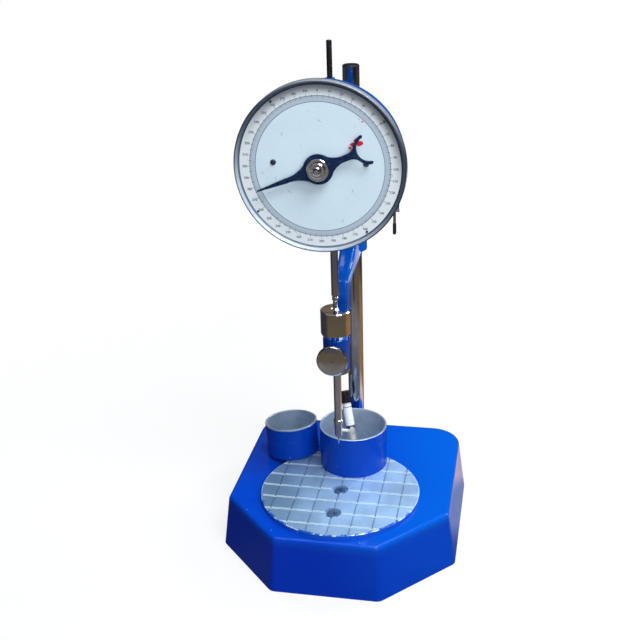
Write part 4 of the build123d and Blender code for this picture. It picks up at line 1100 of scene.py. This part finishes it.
@dataclass
class DialUnit:
    """Dial with its ring, printed plate, screws, pointer, nut, arbor and guides."""

    centre: Place = Place((-8.73, 0.0, 420.6), Facing.FRONT.value)  # middle of the dial on the plane y = 0
    bezel: Pair = (76.0, 80.8)  # inner and outer radius of the ring
    plate_front: float = 50.0  # distance of the plate's face from that plane
    print_rise: float = 0.04  # numerals and strokes above the plate
    ring_rise: float = 0.03  # printed rings above the plate
    divisions: int = 400
    band: Pair = (60.8, 66.1)  # inner and outer radius of the scale band
    ring_width: float = 0.3  # half width of the printed rings
    stroke_start: float = 3.4  # inner ends of the strokes, from the band's inner edge
    stroke_reach: Triple = (2.8, 1.0, 0.0)  # past the band's outer edge, for 10, 5 and 1 division
    stroke_width: Triple = (0.34, 0.5, 0.13)  # of the same strokes
    numeral_radius: float = 71.0  # at the middle of the numerals
    numeral_size: float = 2.3  # height of the numerals
    numeral_weight: float = 0.08  # by which each of their strokes is thickened on both sides
    screw_head: SlottedHead = SlottedHead(2.7, 1.6, 0.36)
    screw_step: float = 43.5  # dial screws sideways from the middle
    screw_rise: float = 4.4  # dial screws above the middle
    edge_head: SlottedHead = SlottedHead(1.25, 0.7, 0.2)  # of each small screw at the plate's edge
    edge_screw_radius: float = 74.4
    edge_screw_turn: float = 54.2  # first of them, clockwise from the top, in degrees
    # Middle, mean radius and turn of each dab of paint on the pointer.
    prong_dabs: tuple[tuple[Pair, float, float], ...] = (
        ((38.0, 24.7), 3.0, 0.4), ((32.6, 22.8), 2.3, 1.7), ((35.2, 25.6), 2.4, 2.6),
        ((30.0, 20.2), 1.3, 0.9))
    prong_thick: float = 0.3
    prong_back: float = 55.2  # distance of the dabs from the plane y = 0
    # Middle, mean radius and turn of each speck of paint on the plate.
    plate_dabs: tuple[tuple[Pair, float, float], ...] = (((40.4, 43.0), 0.75, 0.3), ((37.2, 45.4), 0.45, 1.2))
    plate_thick: float = 0.1
    plate_rise: float = 0.07  # middle of the specks above the plate

    def dress(self) -> None:
        """Give the dial's nodes their finishes."""
        BezelFinish("bezel_satin", self.centre, *self.bezel).on("bezel")
        DialFinish("dial_enamel", self.centre, (0.75, 0.9, 1.0), self.band).on("dial_plate")
        DarkFinish("pointer_blued", (0.014, 0.04, 0.12), (0.05, 0.11, 0.24), 0.6, (0.24, 0.4)).on("pointer")
        chrome("nut_chrome", self.centre, (0.06, 0.16)).on("hub_nut")
        TurnedMetal("arbor_steel", (0.52, 0.52, 0.53), self.centre, (0.2, 0.35)).on("arbor")
        brass = TurnedMetal("bush_brass", BRASS, self.centre, (0.22, 0.38))
        brass.on("front_arbor_bush", "rear_arbor_bush", "pinion")
        TurnedMetal("guide_brass", BRASS, PLUNGER_LINE, (0.22, 0.38)).on("bottom_rod_bush")
        HEAD_BLUE.on("top_rod_bush")

    def build_scale(self) -> None:
        """Make the scale: two rings and a stroke outward for each division, longer at every 5th and 10th."""
        step = np.arange(self.divisions)
        rank = np.select([step % 10 == 0, step % 5 == 0], [0, 1], 2)
        outer = self.band[1] + np.array(self.stroke_reach)[rank]
        width = np.array(self.stroke_width)[rank]
        marks = strokes(TURN * step / self.divisions, self.band[0] + self.stroke_start, outer, width,
                        self.plate_front + self.print_rise, self.centre)
        rise = self.plate_front + self.ring_rise
        rings = [flat_ring(radius - self.ring_width, radius + self.ring_width, rise, self.centre)
                 for radius in self.band]
        ink = InkFinish("scale_ink", (0.15, 0.18, 0.24), (0.3, 0.34, 0.4)).on()
        add_piece(mesh_of("dial_scale", [marks, *rings], printed=True), ink, "head")

    def build_numerals(self) -> None:
        """Make the numerals: 0 at the top and tens of divisions clockwise, all of them upright."""
        joined = bmesh.new()
        dial = Matrix.Translation(Vector(self.centre.origin) * MM) @ self.centre.turn().to_4x4()
        for number in range(0, self.divisions, 10):
            text = bpy.data.curves.new("numeral", "FONT")
            text.body = str(number)
            text.size = self.numeral_size * MM * TYPE_SIZE
            text.align_x = "CENTER"
            text.offset = self.numeral_weight * MM
            text.resolution_u = 2
            holder = bpy.data.objects.new("numeral", text)
            bpy.context.scene.collection.objects.link(holder)
            shape = bpy.data.meshes.new_from_object(holder)
            turn = TURN * number / self.divisions
            spot = Vector((self.numeral_radius * math.sin(turn),
                           self.numeral_radius * math.cos(turn) - self.numeral_size / 2,
                           self.plate_front + self.print_rise)) * MM
            shape.transform(dial @ Matrix.Translation(spot))
            joined.from_mesh(shape)
            bpy.data.objects.remove(holder)
            bpy.data.curves.remove(text)
            bpy.data.meshes.remove(shape)
        mesh = bpy.data.meshes.new("dial_numerals")
        joined.to_mesh(mesh)
        joined.free()
        ink = InkFinish("numeral_ink", (0.06, 0.08, 0.13), (0.2, 0.24, 0.3)).on()
        add_piece(mesh, ink, "head")

    def on_plate(self, right: float, up: float) -> Place:
        """Return a place on the plate's face, by its distances from the middle."""
        x, _, z = self.centre.origin
        return Place((x + right, -self.plate_front, z + up), Facing.FRONT.value)

    def build_screws(self) -> None:
        """Make the slotted heads of the two dial screws and of the four small screws at the plate's edge."""
        heads = [self.screw_head.shape(self.on_plate(step, self.screw_rise))
                 for step in (-self.screw_step, self.screw_step)]
        dark = DarkFinish("dial_screw_black", (0.09, 0.12, 0.18), (0.24, 0.3, 0.38), 0.8, (0.3, 0.5)).on()
        piece = add_piece(mesh_of("dial_screw_heads", heads), dark, "head")
        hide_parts("dial_screws")
        turns = np.radians(self.edge_screw_turn + 90.0 * np.arange(4))
        spots = self.edge_screw_radius * np.stack([np.sin(turns), np.cos(turns)], axis=-1)
        heads = [self.edge_head.shape(self.on_plate(*spot)) for spot in spots.tolist()]
        add_piece(mesh_of("plate_edge_screws", heads), dark, "head")

    def build_mark(self) -> None:
        """Make the dabs of red paint on the back of the pointer's upper prong and two specks on the plate."""
        red = InkFinish("prong_red", (0.62, 0.012, 0.045), (0.5, 0.03, 0.06), 0.3).on()
        dabs = [dab(*paint, self.prong_thick, self.prong_back, self.centre) for paint in self.prong_dabs]
        add_piece(mesh_of("prong_mark", dabs), red, "pointer")
        rise = self.plate_front + self.plate_rise
        specks = [dab(*paint, self.plate_thick, rise, self.centre) for paint in self.plate_dabs]
        add_piece(mesh_of("plate_specks", specks), red, "head")

    def build(self) -> None:
        """Dress the dial's nodes, and make the printed scale and numerals, the screws and the red mark."""
        self.dress()
        self.build_scale()
        self.build_numerals()
        self.build_screws()
        self.build_mark()


@dataclass
class ClutchUnit:
    """Clutch barrel, its cover and jaw, the release button and the button's spring."""

    button: Place = Place((0.0, 0.0, 228.0), Facing.FRONT.value)  # axis of the button on the plane y = 0
    spring_radius: float = 4.6  # of the spring's centre line
    wire_radius: float = 0.4
    spring_turns: float = 4.0
    spring_span: Pair = (48.92, 56.08)  # ends of its centre line along the axis
    spring_seat: float = 48.5  # its fixed end along the axis
    screw_head: SlottedHead = SlottedHead(2.4, 1.4, 0.32)  # of each cover screw
    cover_bottom: float = 206.0  # height of the cover's underside
    cover_screw_step: float = 10.1  # cover screws sideways from the plunger

    def build(self) -> None:
        """Dress the clutch's nodes, and make the button's spring and the cover's screws."""
        chrome("barrel_chrome", PLUNGER_LINE).on("clutch_barrel")
        chrome("button_chrome", self.button, (0.07, 0.16)).on("release_button")
        steel = TurnedMetal("clutch_steel", (0.52, 0.52, 0.53), PLUNGER_LINE, (0.2, 0.36))
        steel.on("clutch_cover", "clutch_jaw")
        wire = TurnedMetal("spring_wire", (0.5, 0.5, 0.5), self.button, (0.2, 0.35)).on()
        spring = coil(self.spring_radius, self.wire_radius, self.spring_turns, self.spring_span, self.button)
        piece = add_piece(mesh_of("spring_coil", [spring]), wire, "head")
        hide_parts("button_spring")
        anchor = (0.0, -self.spring_seat * MM, self.button.origin[2] * MM)
        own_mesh(piece)
        seats = [(x, PLUNGER_LINE.origin[1], self.cover_bottom)
                 for x in (-self.cover_screw_step, self.cover_screw_step)]
        heads = [self.screw_head.shape(Place(seat, Facing.DOWN.value)) for seat in seats]
        black = DarkFinish("cover_screw_black", (0.05, 0.05, 0.055), RUBBED_BLACK, 0.85, (0.28, 0.45)).on()
        piece = add_piece(mesh_of("cover_screw_heads", heads), black, "head")
        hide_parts("cover_screws")


@dataclass
class PlungerUnit:
    """Rack rod with its thin top, the plunger spindle, and the chuck with its thumbscrew and needle."""

    thumb: Place = Place((0.0, -34.0, 137.0), Facing.RIGHT.value)  # axis of the thumbscrew
    thumb_thread: Thread = Thread(1.6, 0.16, 0.7, (4.4, 12.2))

    def build(self) -> None:
        """Dress the moving rods, and make the thread of the thumbscrew."""
        chrome("rod_chrome", PLUNGER_LINE, (0.08, 0.18)).on("rack_rod")
        chrome("plunger_satin", PLUNGER_LINE, (0.17, 0.23)).on("plunger_spindle", "needle_chuck")
        DarkFinish("rod_black", (0.012, 0.013, 0.016), (0.04, 0.045, 0.055), 0.3, (0.2, 0.36)).on("rod_top")
        zinc = TurnedMetal("thumbscrew_zinc", (0.9, 0.91, 0.93), self.thumb, (0.2, 0.36), metallic=0.5)
        screw = zinc.on("chuck_thumbscrew")
        TurnedMetal("needle_steel", (0.66, 0.66, 0.66), PLUNGER_LINE, (0.1, 0.2)).on("needle")
        thread = self.thumb_thread.shape(self.thumb)
        add_piece(mesh_of("thumbscrew_thread", [thread], THREAD_SHARP), screw, "thumbscrew")


@dataclass
class SampleSet:
    """Two sample cups and the capped vial that leans in the larger one."""

    large: Place = Place((5.0, 26.8, 64.0))  # foot of the large cup
    large_size: Pair = (37.0, 47.0)  # outside radius and height
    # Foot of the small cup, which leans on the bed's edge.
    small: Place = Place((-68.1, 45.0, 60.9), (-0.0671, 0.0779, 0.9947))
    small_size: Pair = (29.5, 37.0)  # outside radius and height
    vial: Place = Place((4.6, 38.7, 68.47), (-0.218, 0.336, 0.9163))  # foot and axis of the vial
    label: Pair = (26.0, 55.0)  # heights of the label's two ends along the vial
    bars: tuple[Pair, ...] = ((51.6, 0.35), (28.4, 2.2))  # middle height and half width of each bar on it

    def build(self) -> None:
        """Give the cups and the vial their finishes."""
        cups = (("large_cup", self.large, self.large_size), ("small_cup", self.small, self.small_size))
        for name, place, (radius, height) in cups:
            CupFinish(name + "_finish", *CUP_BLUE, (0.2, 0.34), wave_mm=0.04, place=place, radius=radius,
                      height=height).on(name)
        GlassFinish("vial_glass", self.vial).on("vial_tube")
        LabelFinish("vial_label_film", self.vial, self.label, self.bars).on("vial_label")
        cap = DarkFinish("vial_cap_moulding", (0.012, 0.012, 0.017), (0.026, 0.026, 0.032), 0.0,
                         (0.14, 0.26), 0.006)
        cap.on("vial_cap")
        TurnedMetal("spare_needle_steel", (0.62, 0.62, 0.62), self.vial, (0.12, 0.24)).on("vial_needle")


# Studio


@dataclass(frozen=True)
class SoftLight:
    """Area light that points at the middle of the object."""

    name: str
    place: Triple  # in metres
    size: float  # in metres
    power: float  # in watts
    tone: Triple = (0.95, 0.98, 1.0)
    mirrored: bool = True  # whether gloss shows it

    def add(self, target: Triple) -> None:
        """Put the light into the scene.

        Args:
            target: point that it faces, in metres.
        """
        lamp = bpy.data.lights.new(self.name, "AREA")
        lamp.size = self.size
        lamp.energy = self.power
        lamp.color = self.tone
        holder = bpy.data.objects.new(self.name, lamp)
        holder.visible_glossy = self.mirrored
        bpy.context.scene.collection.objects.link(holder)
        aim = Vector(target) - Vector(self.place)
        turn = aim.to_track_quat("-Z", "Y").to_matrix().to_4x4()
        holder.matrix_world = Matrix.Translation(self.place) @ turn


@dataclass
class Studio:
    """Pale floor, soft lights, white surroundings, a brown card that polished metal mirrors, a camera."""

    target: Triple = (0.0, 0.0, 0.25)  # point that the lights face, in metres
    azimuth: float = 11.717  # turn of the camera to the right of the front, in degrees
    pitch: float = 23.302  # its tilt downward, in degrees
    roll: float = -1.815  # in degrees
    eye: Triple = (0.174598, -0.953212, 0.665075)  # place of the camera, in metres
    lens: float = 57.675
    sensor: float = 36.0
    floor_reach: float = 6000.0  # half width of the floor
    floor_rise: float = -0.3
    lights: tuple[SoftLight, ...] = (
        SoftLight("key_light", (0.67, -0.67, 1.66), 0.65, 21.0),
        SoftLight("front_light", (0.75, -1.85, 0.92), 1.3, 22.0, (0.9, 0.96, 1.0)),
        SoftLight("top_light", (0.2, 0.3, 2.2), 1.6, 21.0),
        SoftLight("side_light", (1.15, 0.8, 1.15), 0.5, 11.0),
        SoftLight("back_light", (-1.3, 0.95, 1.3), 0.9, 7.0, mirrored=False))

    def add_camera(self) -> None:
        """Place the camera by azimuth, pitch and roll, and make it the scene's camera."""
        a, p, r = (math.radians(angle) for angle in (self.azimuth, self.pitch, self.roll))
        forward = Vector((-math.sin(a) * math.cos(p), math.cos(a) * math.cos(p), -math.sin(p)))
        right = Vector((math.cos(a), math.sin(a), 0.0))
        up = right.cross(forward)
        right, up = math.cos(r) * right + math.sin(r) * up, math.cos(r) * up - math.sin(r) * right
        lens = bpy.data.cameras.new("camera")
        lens.lens = self.lens
        lens.sensor_width = self.sensor
        camera = bpy.data.objects.new("camera", lens)
        bpy.context.scene.collection.objects.link(camera)
        turn = Matrix((right, up, -forward)).transposed()
        camera.matrix_world = Matrix.Translation(self.eye) @ turn.to_4x4()
        bpy.context.scene.camera = camera

    def add_world(self) -> None:
        """Make the surroundings: white where they are seen, dim and cool as a light."""
        world = bpy.data.worlds.new("surroundings")
        graph = Graph(world)
        graph.nodes.clear()
        light = graph.add("Background", {"Color": (0.82, 0.9, 1.0), "Strength": 0.06})[0]
        white = graph.add("Background", {"Color": (1.0, 1.0, 1.0), "Strength": 1.0})[0]
        graph.add("OutputWorld", {"Surface": graph.mix(graph.seen(), light, white)})
        bpy.context.scene.world = world

    def add_floor(self) -> None:
        """Lay the floor, a flat grid just under the object."""
        across = np.linspace(-self.floor_reach, self.floor_reach, FLOOR_STEPS)
        x, y = np.meshgrid(across, across)
        sheet = Surface(np.stack([x, y, np.full_like(x, self.floor_rise)], axis=-1), Weave.GRID)
        floor = add_object(mesh_of("floor", [sheet]), FloorPaper("floor_paper").on())

    def add_card(self) -> None:
        """Lay the card, for mirrors only: an outline turned about the z axis, closed to a tent."""
        reach, rise = CARD_OUTLINE.T[:, :, None]
        angle = np.radians(np.linspace(-180, 180, CARD_STEPS))
        x, y, z = np.broadcast_arrays(reach * np.sin(angle), -reach * np.cos(angle), rise)
        sheet = Surface(np.stack([x, y, z], axis=-1), Weave.GRID)
        card = add_object(mesh_of("brown_card", [sheet]), CardGlow("card_brown").on())
        card.visible_camera = False
        card.visible_diffuse = False
        card.visible_transmission = False
        card.visible_shadow = False

    def build(self) -> None:
        """Set up camera, surroundings, floor, card and lights."""
        bpy.context.scene.view_settings.view_transform = "Standard"
        self.add_camera()
        self.add_world()
        self.add_floor()
        self.add_card()
        for light in self.lights:
            light.add(self.target)


def main() -> None:
    logging.basicConfig(level=logging.INFO, format="%(name)s %(message)s")
    for unit in (Studio(), BaseUnit(), HeadUnit(), DialUnit(), ClutchUnit(), PlungerUnit(), SampleSet()):
        unit.build()
        LOG.info("%s done", type(unit).__name__)


if __name__ == "__main__":
    main()
